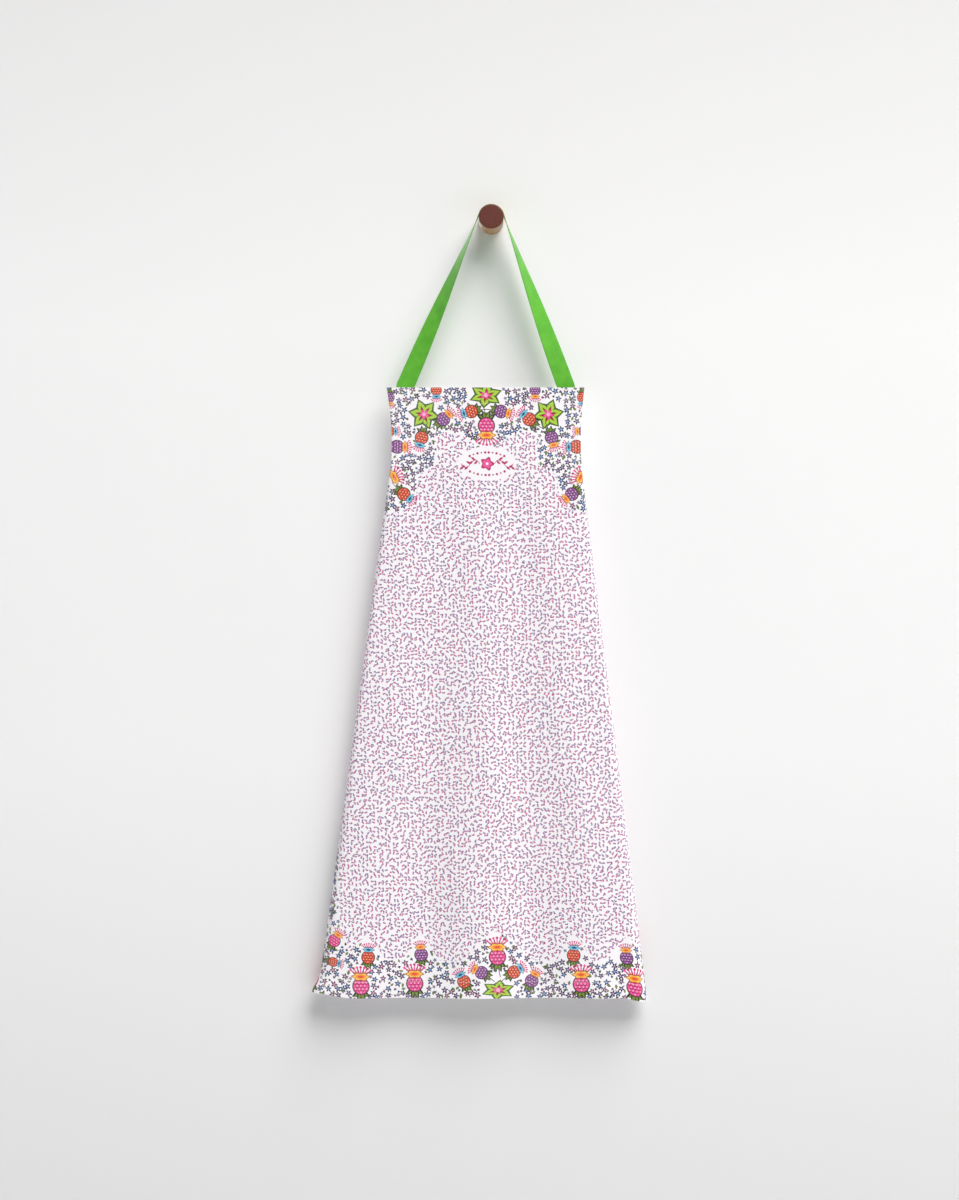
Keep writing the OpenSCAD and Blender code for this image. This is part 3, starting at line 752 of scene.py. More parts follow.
def scatter(sheet, band, kept, rng, draw, gap, tries):
    """Small shapes in a band, outside the field and clear of the large motifs and each other."""
    low, high, half = band
    for _ in range(tries):
        x, v = rng.uniform(-half, half), rng.uniform(low, high)
        if near_inside(x, -v, FIELD, gap * 0.62):
            continue
        if any(math.hypot(abs(x) - cx, v - cv) < r + gap * 0.42 for cx, cv, r in CLEAR):
            continue
        if any(math.hypot(x - kx, v - kv) < (gap + other) / 2 for kx, kv, other in kept):
            continue
        kept.append((x, v, gap))
        draw(Pen(sheet, x, v, rng.uniform(0, 360)), rng)

def draw_flower(pen, rng):
    draw_stalk(pen, rng.uniform(4.5, 6.5), rng.uniform(-2, 2))
    draw_floret(pen, rng.uniform(4.6, 5.4), rng.choice(FLOWER_INKS))

def draw_filler(pen, rng):
    pick = rng.random()
    if pick < 0.45:
        draw_leaf(pen, rng.uniform(5.5, 7.5))
    elif pick < 0.8:
        draw_bud(pen, rng.uniform(2.0, 2.5), rng.choice(FLOWER_INKS))
    else:
        draw_floret(pen, rng.uniform(2.7, 3.3), rng.choice(FLOWER_INKS))

# %% All of the print
def draw_print():
    rng, kept = random.Random(11), []
    sheet = [("field", short_edges(FIELD))]
    for band in BANDS:
        scatter(sheet, band, kept, rng, draw_flower, FLOWER_GAP, 5000)
        scatter(sheet, band, kept, rng, draw_filler, FILLER_GAP, 9000)
    for motif in EDGE_MOTIFS + TOP_MOTIFS + BOTTOM_MOTIFS:
        for side in (LEFT, RIGHT):
            draw_motif(sheet, motif, side)
    draw_star(Pen(sheet, 0, 11), BIG_STAR, 0.75)
    draw_star(Pen(sheet, 0, 853), BIG_STAR, 0.6)
    for motif in MIDDLE_MOTIFS[1::2]:
        draw_motif(sheet, motif, RIGHT)
    draw_ornament(sheet)
    print("small flowers and leaves:", len(kept), "- polygons in the print:", len(sheet))
    return sheet

PRINT = draw_print()

# %% [markdown]
# ## Cutting the cloth
# A constrained Delaunay triangulation takes the pattern's outline, a grid of plain points that
# lets the cloth curve, and all the print's polygons, and returns one mesh of triangles that has
# every outline as an edge. The topmost polygon over a triangle gives its ink. Only then is each
# point carried from the flat pattern to its place in the hanging cloth.

# %% The pattern's outline and points
MM = 0.001
CLOTH_VIEW_T = 0.0009

def signed_area(points):
    """Positive for a polygon in counter-clockwise order."""
    return sum(points[k - 1][0] * points[k][1] - points[k][0] * points[k - 1][1]
               for k in range(len(points))) / 2

def pattern_outline(step=0.008):
    """The cloth's edge in millimetres: down the left side, along the hem and up the right."""
    count = round(LENGTH / step)
    depths = [LENGTH * k / count for k in range(count + 1)]
    left = [(-whole_half(v, LEFT), -v) for v in depths]
    right = [(whole_half(v, RIGHT), -v) for v in reversed(depths)]
    hem = [(mix(left[-1][0], right[0][0], k / 200), -LENGTH) for k in range(1, 200)]
    top = [(mix(right[-1][0], left[0][0], k / 40), 0.0) for k in range(1, 40)]
    return [(x / MM, y / MM) for x, y in left + hem + right + top]

def grid_points(rows=72, columns=14):
    """Plain points inside the outline: closer together round the rolls."""
    points = []
    for row in range(1, rows):
        v = LENGTH * row / rows
        for s in (LEFT, RIGHT):
            front, whole, arc = front_half(v, s), whole_half(v, s), math.pi * fold_r(v)
            places = [front * k / columns for k in range(0 if s == RIGHT else 1, columns)]
            past = 0.0
            while front + past < whole - 0.002:
                places.append(front + past)
                past += 0.0026 if past < arc else 0.016
            points += [(s * p / MM, -v / MM) for p in places]
    return points

print("outline and grid:", len(pattern_outline()), "and", len(grid_points()), "points")

# %% The panel's flat mesh
def cut_cloth(print_polygons):
    """Flat points, triangles, and each triangle's ink with the share of sprigs on it."""
    corners, loops, names = [], [], []
    def add(ink, points):
        first = len(corners)
        corners.extend(Vector(p) for p in (points if signed_area(points) > 0 else points[::-1]))
        loops.append(list(range(first, first + len(points))))
        names.append(ink)
    add("ground", pattern_outline())
    for ink, points in print_polygons:
        add(ink, points)
    corners.extend(Vector(p) for p in grid_points())
    points, _, faces, _, _, origins = delaunay_2d_cdt(corners, [], loops, 1, 1e-5, True)
    kept, colours = [], []
    for face, origin in zip(faces, origins):
        if 0 in origin:
            top = names[max(origin)]
            kept.append(face)
            colours.append((*INK[top if top in INK else "ground"][:3], 1.0 if top == "field" else 0.0))
    return points, kept, colours

def edge_loop(points, faces):
    """The outline's vertices in order from the top left, with the length to each in millimetres."""
    edges = {(face[k - 1], face[k]) for face in faces for k in range(len(face))}
    after = {a: b for a, b in edges if (b, a) not in edges}
    first = min(after, key=lambda k: points[k][0] - 2 * points[k][1])
    loop, lengths, here = [first], [0.0], after[first]
    while True:
        loop.append(here)
        lengths.append(lengths[-1] + (points[here] - points[loop[-2]]).length)
        if here == first:
            return loop, lengths
        here = after[here]

def rim_triangles(front, back, shift):
    """Triangles between the two outlines. shift is where the back's points start."""
    (loop_f, at_f), (loop_b, at_b) = front, back
    i = j = 0
    triangles = []
    while i < len(loop_f) - 1 or j < len(loop_b) - 1:
        if j == len(loop_b) - 1 or (i < len(loop_f) - 1 and at_f[i + 1] <= at_b[j + 1]):
            triangles.append((loop_f[i], loop_b[j] + shift, loop_f[i + 1]))
            i += 1
        else:
            triangles.append((loop_f[i], loop_b[j] + shift, loop_b[j + 1] + shift))
            j += 1
    return triangles

SHOWS_THROUGH = 45.0  # square millimetres
front_cut = cut_cloth(PRINT)
back_cut = cut_cloth([(ink, points) for ink, points in PRINT if abs(signed_area(points)) > SHOWS_THROUGH])
rim = rim_triangles(edge_loop(*front_cut[:2]), edge_loop(*back_cut[:2]), len(front_cut[0]))
print("panel triangles: front", len(front_cut[1]), "back", len(back_cut[1]), "rim", len(rim))

# %% Meshes from points
def new_object(name, points, faces, materials=(), edges=()):
    mesh = bpy.data.meshes.new(name)
    mesh.from_pydata([tuple(p) for p in points], list(edges), faces)
    for material in materials:
        mesh.materials.append(material)
    obj = bpy.data.objects.new(name, mesh)
    bpy.context.scene.collection.objects.link(obj)
    return obj

def smooth(obj, angle=40):
    obj.data.polygons.foreach_set("use_smooth", [True] * len(obj.data.polygons))
    obj.data.set_sharp_from_angle(angle=math.radians(angle))

def made_plain(obj):
    """The object's evaluated mesh becomes its own, and its modifiers go."""
    graph = bpy.context.evaluated_depsgraph_get()
    mesh = bpy.data.meshes.new_from_object(obj.evaluated_get(graph))
    obj.modifiers.clear()
    obj.data = mesh
    return obj

def outward(obj):
    """Turns every face of a closed piece outwards."""
    work = bmesh.new()
    work.from_mesh(obj.data)
    bmesh.ops.recalc_face_normals(work, faces=work.faces)
    work.to_mesh(obj.data)
    work.free()

def flat_map(obj, places):
    """Writes a map named flat, in metres, from one place for each vertex."""
    layer = obj.data.uv_layers.new(name="flat")
    layer.data.foreach_set("uv", [c for loop in obj.data.loops for c in places[loop.vertex_index]])

def print_colours(obj, colours):
    """Writes the ink of every face's corners."""
    layer = obj.data.color_attributes.new("print", "FLOAT_COLOR", "CORNER")
    layer.data.foreach_set("color", colours)

print("points in the two cuts:", len(front_cut[0]), "and", len(back_cut[0]))

# %% The printed panel
def make_panel():
    """Front, back and rim as one closed mesh."""
    points, places, faces, colours, slots = [], [], [], [], []
    for slot, off, (flat, triangles, inks) in ((0, 0.0, front_cut), (1, CLOTH_VIEW_T, back_cut)):
        shift = len(points)
        here = [(p[0] * MM, -p[1] * MM) for p in flat]
        places += here
        points += [cloth_point(v, a, off) for a, v in here]
        faces += [tuple(k + shift for k in face) for face in triangles]
        colours += inks
        slots += [slot] * len(triangles)
    plain = (*INK["ground"][:3], 0.0)
    faces, colours, slots = faces + rim, colours + [plain] * len(rim), slots + [0] * len(rim)
    obj = new_object("apron_panel_cloth", points, faces, [COTTON, COTTON_BACK])
    flat_map(obj, places)
    print_colours(obj, [c for face, colour in zip(faces, colours) for _ in face for c in colour])
    obj.data.polygons.foreach_set("material_index", slots)
    outward(obj)
    smooth(obj, 60)
    return obj

panel = make_panel()
print("panel closed:", len(panel.data.polygons), "faces")

# %% [markdown]
# ## Turned hems
# A hem is the cloth's own edge, turned over and sewn down. From behind it shows as a raised
# band with a soft edge. Each is a closed strip behind the panel, on the same pattern, that
# thins to nothing at its two long edges and puckers slightly between its stitches.

# %% Closed strips
def slab(name, rows, material):
    """Closed piece from rows of stations: each has a front point, a back point and a flat place."""
    deep, wide = len(rows), len(rows[0])
    points = [station[side] for side in (0, 1) for row in rows for station in row]
    places = [station[2] for row in rows for station in row] * 2
    def front(r, c):
        return r * wide + c
    def back(r, c):
        return (deep + r) * wide + c
    faces = []
    for r in range(deep - 1):
        for c in range(wide - 1):
            faces.append((front(r, c), front(r + 1, c), front(r + 1, c + 1), front(r, c + 1)))
            faces.append((back(r, c), back(r, c + 1), back(r + 1, c + 1), back(r + 1, c)))
        for c, way in ((0, 1), (wide - 1, -1)):
            faces.append((front(r, c), back(r, c), back(r + 1, c), front(r + 1, c))[::way])
    for c in range(wide - 1):
        for r, way in ((0, 1), (deep - 1, -1)):
            faces.append((front(r, c), front(r, c + 1), back(r, c + 1), back(r, c))[::way])
    obj = new_object(name, points, faces, [material])
    flat_map(obj, places)
    outward(obj)
    smooth(obj, 60)
    return obj

def round_share(k, thin):
    """Share of the full thickness, from thin at an edge (k of 0) to 1, as a rounded edge has it."""
    return thin + (1 - thin) * math.sqrt(max(1 - (1 - min(k, 1.0)) ** 2, 0))

def counted(low, high, step):
    """Even places from low to high, about a step apart."""
    count = max(round((high - low) / step), 1)
    return [low + (high - low) * k / count for k in range(count + 1)]

# %% Strips on the pattern
ROUND_OVER, PUCKER, PUCKER_LENGTH = 0.0008, 0.00012, 0.011
EDGE_STEPS = (0, 0.0002, 0.0006, 0.0012)

def across_steps(width):
    return [*EDGE_STEPS, *(width * k / 6 for k in range(1, 6)), *(width - d for d in EDGE_STEPS[::-1])]

def hem_strip(name, place, lengths, width):
    """place(t, d) gives the depth and the arc length at t along the strip and d across it."""
    rows = []
    for t in lengths:
        row = []
        for d in across_steps(width):
            v, a = place(t, d)
            thick = HEM_T + PUCKER * math.sin(2 * math.pi * t / PUCKER_LENGTH + 90 * d)
            behind = CLOTH_VIEW_T + round_share(min(d, width - d) / ROUND_OVER, 0.12) * thick
            row.append((cloth_point(v, a, CLOTH_VIEW_T), cloth_point(v, a, behind), (a, v)))
        rows.append(row)
    obj = slab(name, rows, COTTON_HEM)
    print_colours(obj, [*INK["ground"][:3], 1.0] * len(obj.data.loops))
    return obj

# %% The hems
HEM_STEP = 0.0045

def side_place(s):
    return lambda t, d: (t, s * (whole_half(t, s) - d))

def bottom_place(t, d):
    v = LENGTH - BOTTOM_HEM_W + d
    return v, mix(-whole_half(v, LEFT), whole_half(v, RIGHT), t)

TOP_HALF = {s: whole_half(TOP_HEM_W, s) - SIDE_HEM_W - 0.001 for s in (LEFT, RIGHT)}
hems = {}
for s, word in SIDES:
    for kind, low, high in (("armhole_hem_", 0, ARMHOLE_H),
                            ("side_hem_", ARMHOLE_H, LENGTH - BOTTOM_HEM_W)):
        hems[kind + word] = hem_strip(kind + word + "_cloth", side_place(s),
                                      counted(low, high, HEM_STEP), SIDE_HEM_W)
hems["top_hem"] = hem_strip("top_hem_cloth", lambda t, d: (d, t),
                            counted(-TOP_HALF[LEFT], TOP_HALF[RIGHT], HEM_STEP), TOP_HEM_W)
hems["bottom_hem"] = hem_strip("bottom_hem_cloth", bottom_place, counted(0, 1, 0.0075), BOTTOM_HEM_W)
print("hems:", sorted(hems))

# %% [markdown]
# ## Rows of stitches
# A row of machine stitches is the same short thread again and again along a line, which is
# what Geometry Nodes are for. One tree resamples a guide line to the stitch pitch, puts a
# thread on each point, turned along the line, makes the copies real and gives them their
# material. Each node of the frame gets one piece, for its rows on the front and the back.

# %% Stitch tree
STITCH_INPUTS = (("Geometry", "Geometry", None), ("Pitch", "Float", 0.003), ("Length", "Float", 0.0023),
                 ("Thickness", "Float", 0.0005), ("Unevenness", "Float", 0.08), ("Seed", "Int", 3),
                 ("Thread", "Material", None))

def build_stitch_tree():
    tree, g, given, result = new_group(
        "stitch_row", [(label, "NodeSocket" + kind, value) for label, kind, value in STITCH_INPUTS],
        [("Geometry", "NodeSocketGeometry")], "GeometryNodeTree")
    line = g.add("GeometryNodeMeshToCurve", {0: given["Geometry"]})
    even = g.add("GeometryNodeResampleCurve", {"Curve": line.outputs[0], "Length": given["Pitch"]},
                 mode="LENGTH")
    thread = g.add("GeometryNodeMeshUVSphere", {"Segments": 6, "Rings": 4, "Radius": 0.5})
    tangent = g.add("GeometryNodeInputTangent")
    turn = g.add("FunctionNodeAlignRotationToVector", {"Vector": tangent.outputs[0]}, axis="X")
    size = g.add("ShaderNodeCombineXYZ", {0: given["Length"], 1: given["Thickness"], 2: given["Thickness"]})
    uneven = g.add("FunctionNodeRandomValue", {"Seed": given["Seed"]}, data_type="FLOAT")
    g.put(g.math("SUBTRACT", 1.0, given["Unevenness"]), uneven.inputs[2])
    g.put(g.math("ADD", 1.0, given["Unevenness"]), uneven.inputs[3])
    scaled = g.add("ShaderNodeVectorMath", {0: size.outputs[0]}, operation="SCALE")
    g.put(uneven.outputs[1], scaled.inputs["Scale"])
    copies = g.add("GeometryNodeInstanceOnPoints", {"Points": even.outputs[0], "Instance": thread.outputs[0],
                                                    "Rotation": turn.outputs[0], "Scale": scaled.outputs[0]})
    real = g.add("GeometryNodeRealizeInstances", {0: copies.outputs[0]})
    dressed = g.add("GeometryNodeSetMaterial", {"Geometry": real.outputs[0], "Material": given["Thread"]})
    g.put(dressed.outputs[0], result["Geometry"])
    return tree

STITCHES = build_stitch_tree()

def stitch_piece(name, lines, pitch=0.003):
    """One piece with a row of stitches along each line of points."""
    points, edges = [], []
    for line in lines:
        first = len(points)
        points += line
        edges += [(first + k, first + k + 1) for k in range(len(line) - 1)]
    obj = new_object(name, points, [], edges=edges)
    modifier = obj.modifiers.new("stitches", "NODES")
    modifier.node_group = STITCHES
    for label, value in (("Pitch", pitch), ("Thread", THREAD)):
        modifier[STITCHES.interface.items_tree[label].identifier] = value
    made_plain(obj)
    smooth(obj, 80)
    return obj

print("stitch tree:", len(STITCHES.nodes), "nodes")

# %% Stitching of the hems
STITCH_IN = 0.002
STITCH_FRONT, STITCH_BACK = -0.00005, CLOTH_VIEW_T + HEM_T + 0.00005

def both_faces(places):
    """The same row on the printed side and on the hem behind."""
    return [[cloth_point(v, a, off) for v, a in places] for off in (STITCH_FRONT, STITCH_BACK)]

rows = {"top_hem_stitching": [(TOP_HEM_W - STITCH_IN, a)
                              for a in counted(-TOP_HALF[LEFT], TOP_HALF[RIGHT], 0.006)],
        "bottom_hem_stitching": [bottom_place(t, STITCH_IN) for t in counted(0.004, 0.996, 0.006)]}
for s, word in SIDES:
    rows["side_stitching_" + word] = [side_place(s)(v, SIDE_HEM_W - STITCH_IN)
                                      for v in counted(0.003, LENGTH - BOTTOM_HEM_W, 0.004)]
sewn = {node: stitch_piece(node + "_thread", both_faces(row)) for node, row in rows.items()}
print("hem rows:", {node: len(obj.data.polygons) for node, obj in sewn.items()})

# %% Stitching of the strap and the ties
BOX_PITCH, THREAD_OUT = 0.0026, 0.0001

def crossed_box(node, y):
    """Stitched box with a cross in it, over a node of the frame, at the depth y."""
    low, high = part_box(node)
    corners = [Vector((x, y, z)) for x, z in
               ((low.x, high.z), (high.x, high.z), (high.x, low.z), (low.x, low.z))]
    return [corners + corners[:1], corners[::2], corners[1::2]]

for word in ("left", "right"):
    strap_node, tie_node = "strap_stitching_" + word, "tie_stitching_" + word
    strap_back = span("strap_end_" + word, 1)[1]
    inner, outer = span(tie_node, 1)
    for node, depths in ((strap_node, (FRONT - THREAD_OUT, strap_back + THREAD_OUT)),
                         (tie_node, (inner + 2 * THREAD_OUT, outer - THREAD_OUT))):
        lines = [line for y in depths for line in crossed_box(node, y)]
        sewn[node] = stitch_piece(node + "_thread", lines, BOX_PITCH)
print("stitch pieces:", {node: len(obj.data.polygons) for node, obj in sewn.items()})

# %% [markdown]
# ## Neck strap
# The strap is one length of flat webbing. It is sewn flat behind the bib, makes a quarter turn
# in each leg, and lies across the peg with its face to the wood. The section is swept by hand
# along the same legs as the frame's strap: a solid between two grids of points, with rounded
# selvedges, so that its map runs straight along the webbing.

# %% The strap's route
STRAP_VIEW_T = 0.0010
WRAP_R = PEG_R + 0.0001 + STRAP_VIEW_T / 2
FOOT_X = {s: sum(span("strap_end_" + word, 0)) / 2 for s, word in SIDES}
TAIL_Z = span("strap_end_left", 2)[0]

def leave_angle(s):
    """Angle round the peg at which a leg leaves it, from +X upwards."""
    reach = math.hypot(FOOT_X[s], BIB_TOP)
    swing = math.acos(WRAP_R / reach)
    return math.atan2(BIB_TOP, FOOT_X[s]) + (swing if s == RIGHT else 2 * math.pi - swing)

def strap_frame(s, k):
    """Centre, direction across and face direction on a leg, from the foot at 0 to the peg at 1."""
    angle = leave_angle(s)
    top = Vector((WRAP_R * math.cos(angle), 0, WRAP_R * math.sin(angle)))
    foot = Vector((FOOT_X[s], 0, BIB_TOP))
    run = (foot - top).normalized()
    out = Vector((-run.z, 0, run.x)) * s
    turn = math.pi / 2 * mix(k, ease(k), 0.25)
    across = out * math.cos(turn) + Vector((0, math.sin(turn), 0))
    face = out * math.sin(turn) - Vector((0, math.cos(turn), 0))
    return foot.lerp(top, k) + Vector((0, STRAP_Y, 0)), across, face

def tail_frame(s, z):
    return Vector((FOOT_X[s], STRAP_Y, z)), Vector((s, 0, 0)), Vector((0, -1, 0))

def leg_stations(s, steps=64, bend_steps=6, bend_h=0.008, bend_share=0.035):
    """From the sewn tail's end up to the peg, with a short bend at the bib's top."""
    stations = [tail_frame(s, z) for z in counted(TAIL_Z, BIB_TOP - bend_h, 0.002)]
    for k in range(1, bend_steps):
        part = k / bend_steps
        start = tail_frame(s, BIB_TOP - bend_h + 2 * bend_h * part)
        end = strap_frame(s, bend_share * part)
        share = ease(part)
        across = start[1].lerp(end[1], share).normalized()
        stations.append((start[0].lerp(end[0], share), across, Vector((0, -1, 0))))
    return stations + [strap_frame(s, mix(bend_share, 1, k / steps)) for k in range(steps)]

def wrap_stations(steps=40):
    low, high = leave_angle(LEFT), leave_angle(RIGHT)
    stations = []
    for k in range(steps + 1):
        angle = mix(low, high, k / steps)
        out = Vector((math.cos(angle), 0, math.sin(angle)))
        stations.append((out * WRAP_R + Vector((0, STRAP_Y, 0)), Vector((0, 1, 0)), out))
    return stations

# %% A webbing strip along stations
def same_way(stations):
    """Keeps the directions from flipping between one station and the next."""
    kept = [stations[0]]
    for centre, *ways in stations[1:]:
        kept.append((centre, *(-way if way.dot(last) < 0 else way for way, last in zip(ways, kept[-1][1:]))))
    return kept

def mirrored(shares):
    return [-share for share in shares] + [0] + [share for share in shares[::-1]]

STRAP_SHARES = mirrored([1, 0.985, 0.94, 0.86, 0.6, 0.3])

def half_thickness(share, width, thickness, thin):
    """Half the webbing's thickness, at a share of the way from its middle to a selvedge."""
    return thickness / 2 * round_share((1 - abs(share)) * width / thickness, thin)

def webbing_strip(name, stations):
    """Closed strip with rounded selvedges. A station is a centre, a direction across and a face."""
    rows, run = [], 0.0
    for k, (centre, across, face) in enumerate(stations):
        if k:
            run += (centre - stations[k - 1][0]).length
        row = []
        for share in STRAP_SHARES:
            half, aside = half_thickness(share, STRAP_W, STRAP_VIEW_T, 0.25), share * STRAP_W / 2
            middle = centre + across * aside
            row.append((middle + face * half, middle - face * half, (aside, run)))
        rows.append(row)
    return slab(name, rows, WEBBING), run

route = same_way(leg_stations(LEFT) + wrap_stations() + leg_stations(RIGHT)[::-1])
strap, strap_length = webbing_strip("neck_strap_webbing", route)
print("strap length:", round(strap_length, 3))

# %% [markdown]
# ## Waist ties
# Each tie is webbing too. Its end is sewn flat inside the flap at the waist; at the flap's edge
# it folds down along a diagonal, as a ribbon does when it turns a corner, and the rest hangs
# behind the apron. The fold is worked out by wrapping the flat strip round a thin roll that
# lies along the diagonal.

# %% The ties
TIE_SHARES = mirrored([1, 0.97, 0.9, 0.6, 0.3])
SWAY = 0.0012

def folded(u, w, r):
    """A point of the flat strip, u along and w across, wrapped round a roll of radius r on the
    diagonal u = -w. Gives its place along and down, its depth, and the face's direction."""
    past = (u + w) / math.sqrt(2)
    if past <= 0:
        return u, w, 0.0, (0.0, 1.0)
    angle = min(past / r, math.pi)
    back = past - r * math.sin(angle) if angle < math.pi else 2 * past - math.pi * r
    return (u - back / math.sqrt(2), w - back / math.sqrt(2), r - r * math.cos(angle),
            (-math.sin(angle) / math.sqrt(2), math.cos(angle)))

def tie_rows(word, s):
    """Stations of a tie, by place along it (from the sewn end) and across, and its length."""
    tab_low, tab_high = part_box("tie_end_" + word)
    hang_low, hang_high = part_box("tie_" + word)
    top, low, width, r = tab_high.z, tab_low.z, tab_high.z - tab_low.z, STRAP_T / 2
    edge = (hang_low.x if s == RIGHT else hang_high.x) + s * width
    sewn_l = abs((tab_high.x if s == RIGHT else tab_low.x) - edge)
    total = sewn_l + width + (low - hang_low.z)
    along = counted(0, sewn_l - 0.002, 0.004) + counted(sewn_l - 0.001, sewn_l + width + 0.003, 0.001) + \
        counted(sewn_l + width + 0.007, total, 0.005)
    rows = []
    for t in along:
        row = []
        for share in TIE_SHARES:
            x, z, y, (slant, depth) = folded(t - sewn_l, (share - 1) * width / 2, r)
            fall = max(low - (top + z), 0)
            sway = SWAY * math.sin(9 * fall + s) * ease(fall / 0.08)
            centre = Vector((edge - s * x, tab_low.y + r + y + sway, top + z))
            shift = Vector((s * slant, depth, slant)) * half_thickness(share, width, STRAP_T, 0.3)
            row.append((centre - shift, centre + shift, (share * width / 2, t)))
        rows.append(row)
    return rows, total

ties = {}
for s, word in SIDES:
    rows, tie_length = tie_rows(word, s)
    ties[word] = slab("tie_" + word + "_webbing", rows, WEBBING)
    print("tie", word, "length:", round(tie_length, 3))

# %% [markdown]
# ## Care label
# A blank satin label is sewn into the top hem behind the bib. It is a thin tab with its lower
# edge turned up and a slight curl.

# %% The label
def make_label_piece(rows=30, columns=12, curl_depth=0.0016):
    low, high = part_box("care_label")
    grid = []
    for z in (mix(high.z, low.z, k / rows) for k in range(rows + 1)):
        curl, row = curl_depth * ease((high.z - z - 0.02) / 0.03), []
        for k in range(columns + 1):
            x, bend = mix(low.x, high.x, k / columns), curl * (1 - 0.3 * math.cos(2 * math.pi * k / columns))
            row.append((Vector((x, low.y + 0.0001 + bend, z)), Vector((x, high.y + bend, z)), (x, z)))
        grid.append(row)
    return slab("care_label_satin", grid, LABEL)

label = make_label_piece()
print("label:", len(label.data.polygons), "faces")

# %% [markdown]
# ## Peg
# The peg is turned wood: a plain cylinder with a small rounded bevel round its front face and a
# bore at the back for the screw. A lathe makes such a shape, and so does a profile that is spun
# about the axis.

# %% The peg
def make_peg(segments=96):
    bevel, bore_r, bore_depth = 0.0016, 0.00305, 0.028
    profile = [(bore_r, PEG_BACK - bore_depth), (bore_r, PEG_BACK), (PEG_R - 0.0005, PEG_BACK),
               (PEG_R, PEG_BACK - 0.0005)]
    profile += [(PEG_R, mix(PEG_BACK, PEG_FRONT, k / 8)) for k in range(1, 8)]
    profile += [(PEG_R - bevel + bevel * math.cos(t), PEG_FRONT + bevel - bevel * math.sin(t))
                for t in (math.pi / 2 * k / 6 for k in range(7))]
    profile += [(PEG_R * k / 4, PEG_FRONT) for k in (3, 2, 1)]
    points, faces, count = [], [], len(profile)
    front = segments * count
    for k in range(segments):
        t = 2 * math.pi * k / segments
        points += [(r * math.cos(t), y, r * math.sin(t)) for r, y in profile]
        a, b = k * count, (k + 1) % segments * count
        faces += [(a + j, b + j, b + j + 1, a + j + 1) for j in range(count - 1)]
        faces += [(a + count - 1, b + count - 1, front), (b, a, front + 1)]
    points += [(0, PEG_FRONT, 0), (0, PEG_BACK - bore_depth, 0)]
    obj = new_object("peg_turned", points, faces, [WOOD])
    outward(obj)
    smooth(obj, 50)
    return obj

peg = make_peg()
for node, material in (("dowel_screw", STEEL), ("wall_plug", NYLON)):
    nodes[node].data.materials.clear()
    nodes[node].data.materials.append(material)
print("peg:", len(peg.data.polygons), "faces")

# %% [markdown]
# ## Which body each piece rides on
# The apron's pieces move together, on the apron's body, and the peg rides on its own. The strap
# is fast to the bib at its feet and free above; the strap and the ties stay where they are made.
# The frame's nodes that the new pieces stand for are hidden.

# %% Bodies and replaced nodes
for node, obj in {**hems, **sewn, "apron_panel": panel, "care_label": label}.items():
    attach(obj, "apron")
    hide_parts(node)
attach(peg, "peg")
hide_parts("peg")
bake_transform(strap)
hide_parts("neck_strap", "strap_end_left", "strap_end_right")
for word, tie in ties.items():
    low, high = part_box("tie_" + word)
    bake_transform(tie)
    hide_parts("tie_" + word, "tie_end_" + word)
print("pieces that bend between two bodies:", strap.name, *(tie.name for tie in ties.values()))

# %% [markdown]
# ## Wall, floor, light and camera
# The apron hangs on a pale wall, so the wall is the backdrop: one sheet that only shows from
# the front, so that the views from behind see the apron and not the wall's back. A large soft
# light from the upper right gives the faint shadow on the left. The floor is far below.

# %% Stage
def make_stage_material(name, colour):
    material, g, shader = new_material(name, Specular_IOR_Level=0.1, Roughness=0.9)
    place = g.room_place()
    paint = g.mix(tone_of(g, place, 1.2), colour, shaded(colour, 0.985))
    g.put(paint, shader.inputs["Base Color"])
    return material, g, shader, place, paint

def make_wall_with_painted_shade(name, colour):
    """Wall paint with painted shade: darker at the top and low down, where the light falls off, and can't be
    seen from behind.
    """
    material, g, shader, place, paint = make_stage_material(name, colour)
    height = g.part(place, 2)
    # Painted shade: the paint is darkened above and far below, where the light falls off.
    paint = g.mix(g.ramp(height, -0.15, 0.65), paint, shaded(colour, 0.785))
    paint = g.mix(g.ramp(height, -0.75, -1.45), paint, shaded(colour, 0.845))
    g.put(paint, shader.inputs["Base Color"])
    output = next(n for n in material.node_tree.nodes if n.type == "OUTPUT_MATERIAL")
    see_through = g.add("ShaderNodeBsdfTransparent")
    facing = g.add("ShaderNodeNewGeometry")
    both = g.add("ShaderNodeMixShader", {0: facing.outputs["Backfacing"], 1: shader.outputs[0],
                                         2: see_through.outputs[0]})
    g.put(both.outputs[0], output.inputs[0])
    return material

WALL_Y, FLOOR_Z, REACH = 0.0005, -1.62, 5.0

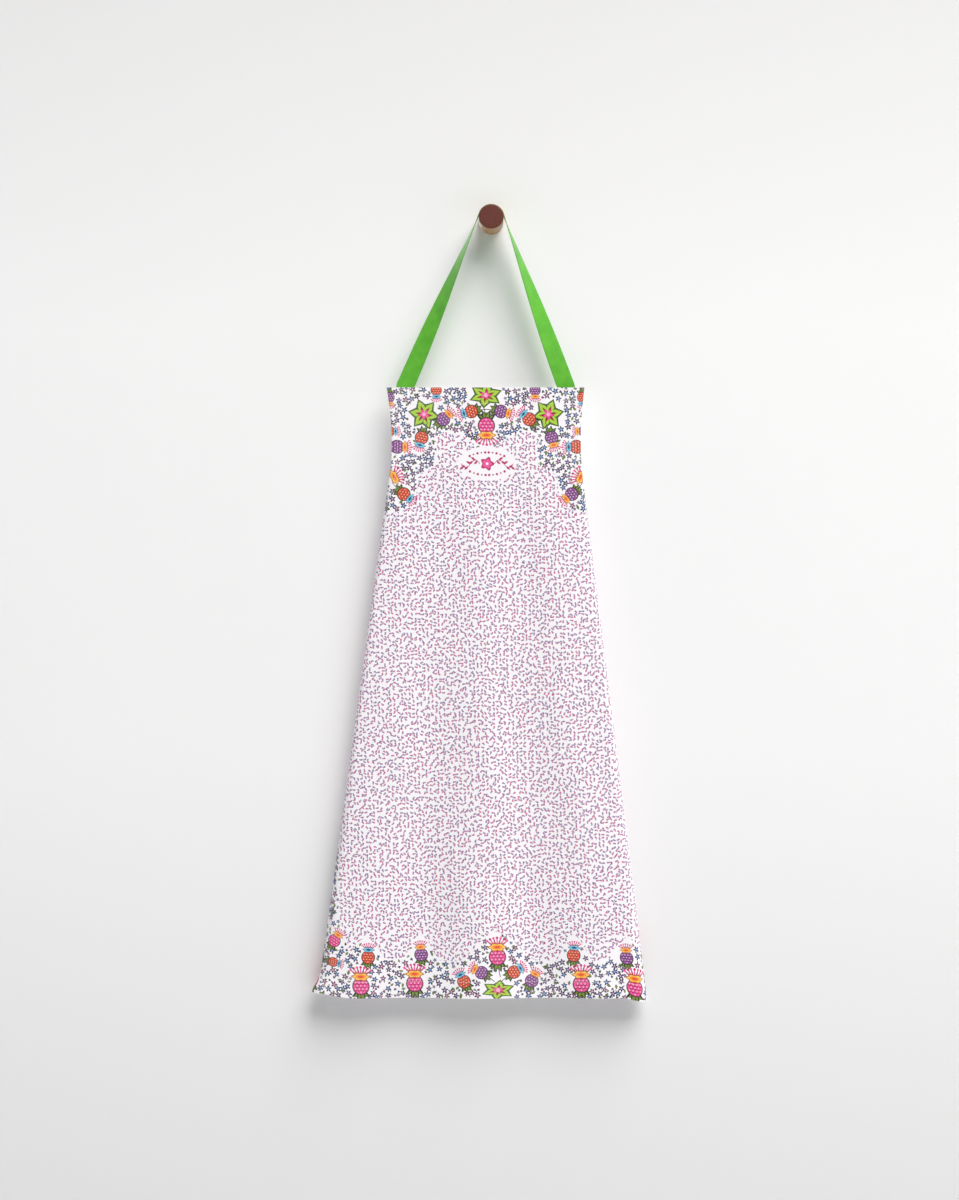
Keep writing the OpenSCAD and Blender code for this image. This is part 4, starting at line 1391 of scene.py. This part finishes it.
def backdrop(name, material, near, far):
    """Four-sided sheet, from a near and a far edge that are each a place behind and a height."""
    corners = [(-REACH, *near), (REACH, *near), (REACH, *far), (-REACH, *far)]
    return new_object(name, corners, [(0, 1, 2, 3)], [material])

wall = backdrop("backdrop_wall", make_wall_with_painted_shade("wall_paint_with_painted_shade", srgb(245, 245, 245)),
                (WALL_Y, FLOOR_Z), (WALL_Y, REACH))
floor = backdrop("backdrop_floor", make_stage_material("floor_paint", srgb(206, 206, 208))[0],
                 (-REACH, FLOOR_Z), (REACH, FLOOR_Z))
wall.visible_shadow = False
print("stage:", wall.name, floor.name)

# %% Lights and world
def area_light(name, place, aim, size, power, colour=(1.0, 1.0, 1.0)):
    """Round soft light at a place, turned towards an aim."""
    light = bpy.data.lights.new(name, "AREA")
    light.shape, light.size, light.energy, light.color = "DISK", size, power, colour
    obj = bpy.data.objects.new(name, light)
    obj.location = place
    obj.rotation_euler = (Vector(aim) - Vector(place)).to_track_quat("-Z", "Y").to_euler()
    bpy.context.scene.collection.objects.link(obj)

area_light("key", (3.0, -4.8, 7.2), (0, 0, -0.5), 8.0, 1230, (1.0, 0.99, 0.975))
area_light("back_fill", (-1.2, 2.6, 0.4), (0, 0, -0.6), 1.6, 22)
AMBIENT_LIGHT, BACKDROP_LIGHT = 0.19, 0.86
world = bpy.data.worlds.new("studio")
world.use_nodes = True
sky, background = Graph(world.node_tree), world.node_tree.nodes["Background"]
background.inputs[0].default_value = srgb(253, 253, 255)
seen = sky.add("ShaderNodeLightPath").outputs["Is Camera Ray"]
sky.put(sky.scaled(seen, BACKDROP_LIGHT - AMBIENT_LIGHT, AMBIENT_LIGHT), background.inputs[1])
bpy.context.scene.world = world
bpy.context.scene.view_settings.view_transform = "Standard"
print("lights:", [light.name for light in bpy.data.lights])

# %% Camera
def make_camera():
    data = bpy.data.cameras.new("camera")
    data.sensor_fit, data.sensor_width, data.sensor_height = "AUTO", 36, 36
    data.lens = 71.2
    obj = bpy.data.objects.new("camera", data)
    obj.location = (-0.0166, -3.4, -0.541)
    obj.rotation_euler = (math.pi / 2, 0, 0)
    bpy.context.scene.collection.objects.link(obj)
    bpy.context.scene.camera = obj

make_camera()
print("camera:", bpy.context.scene.camera.name)
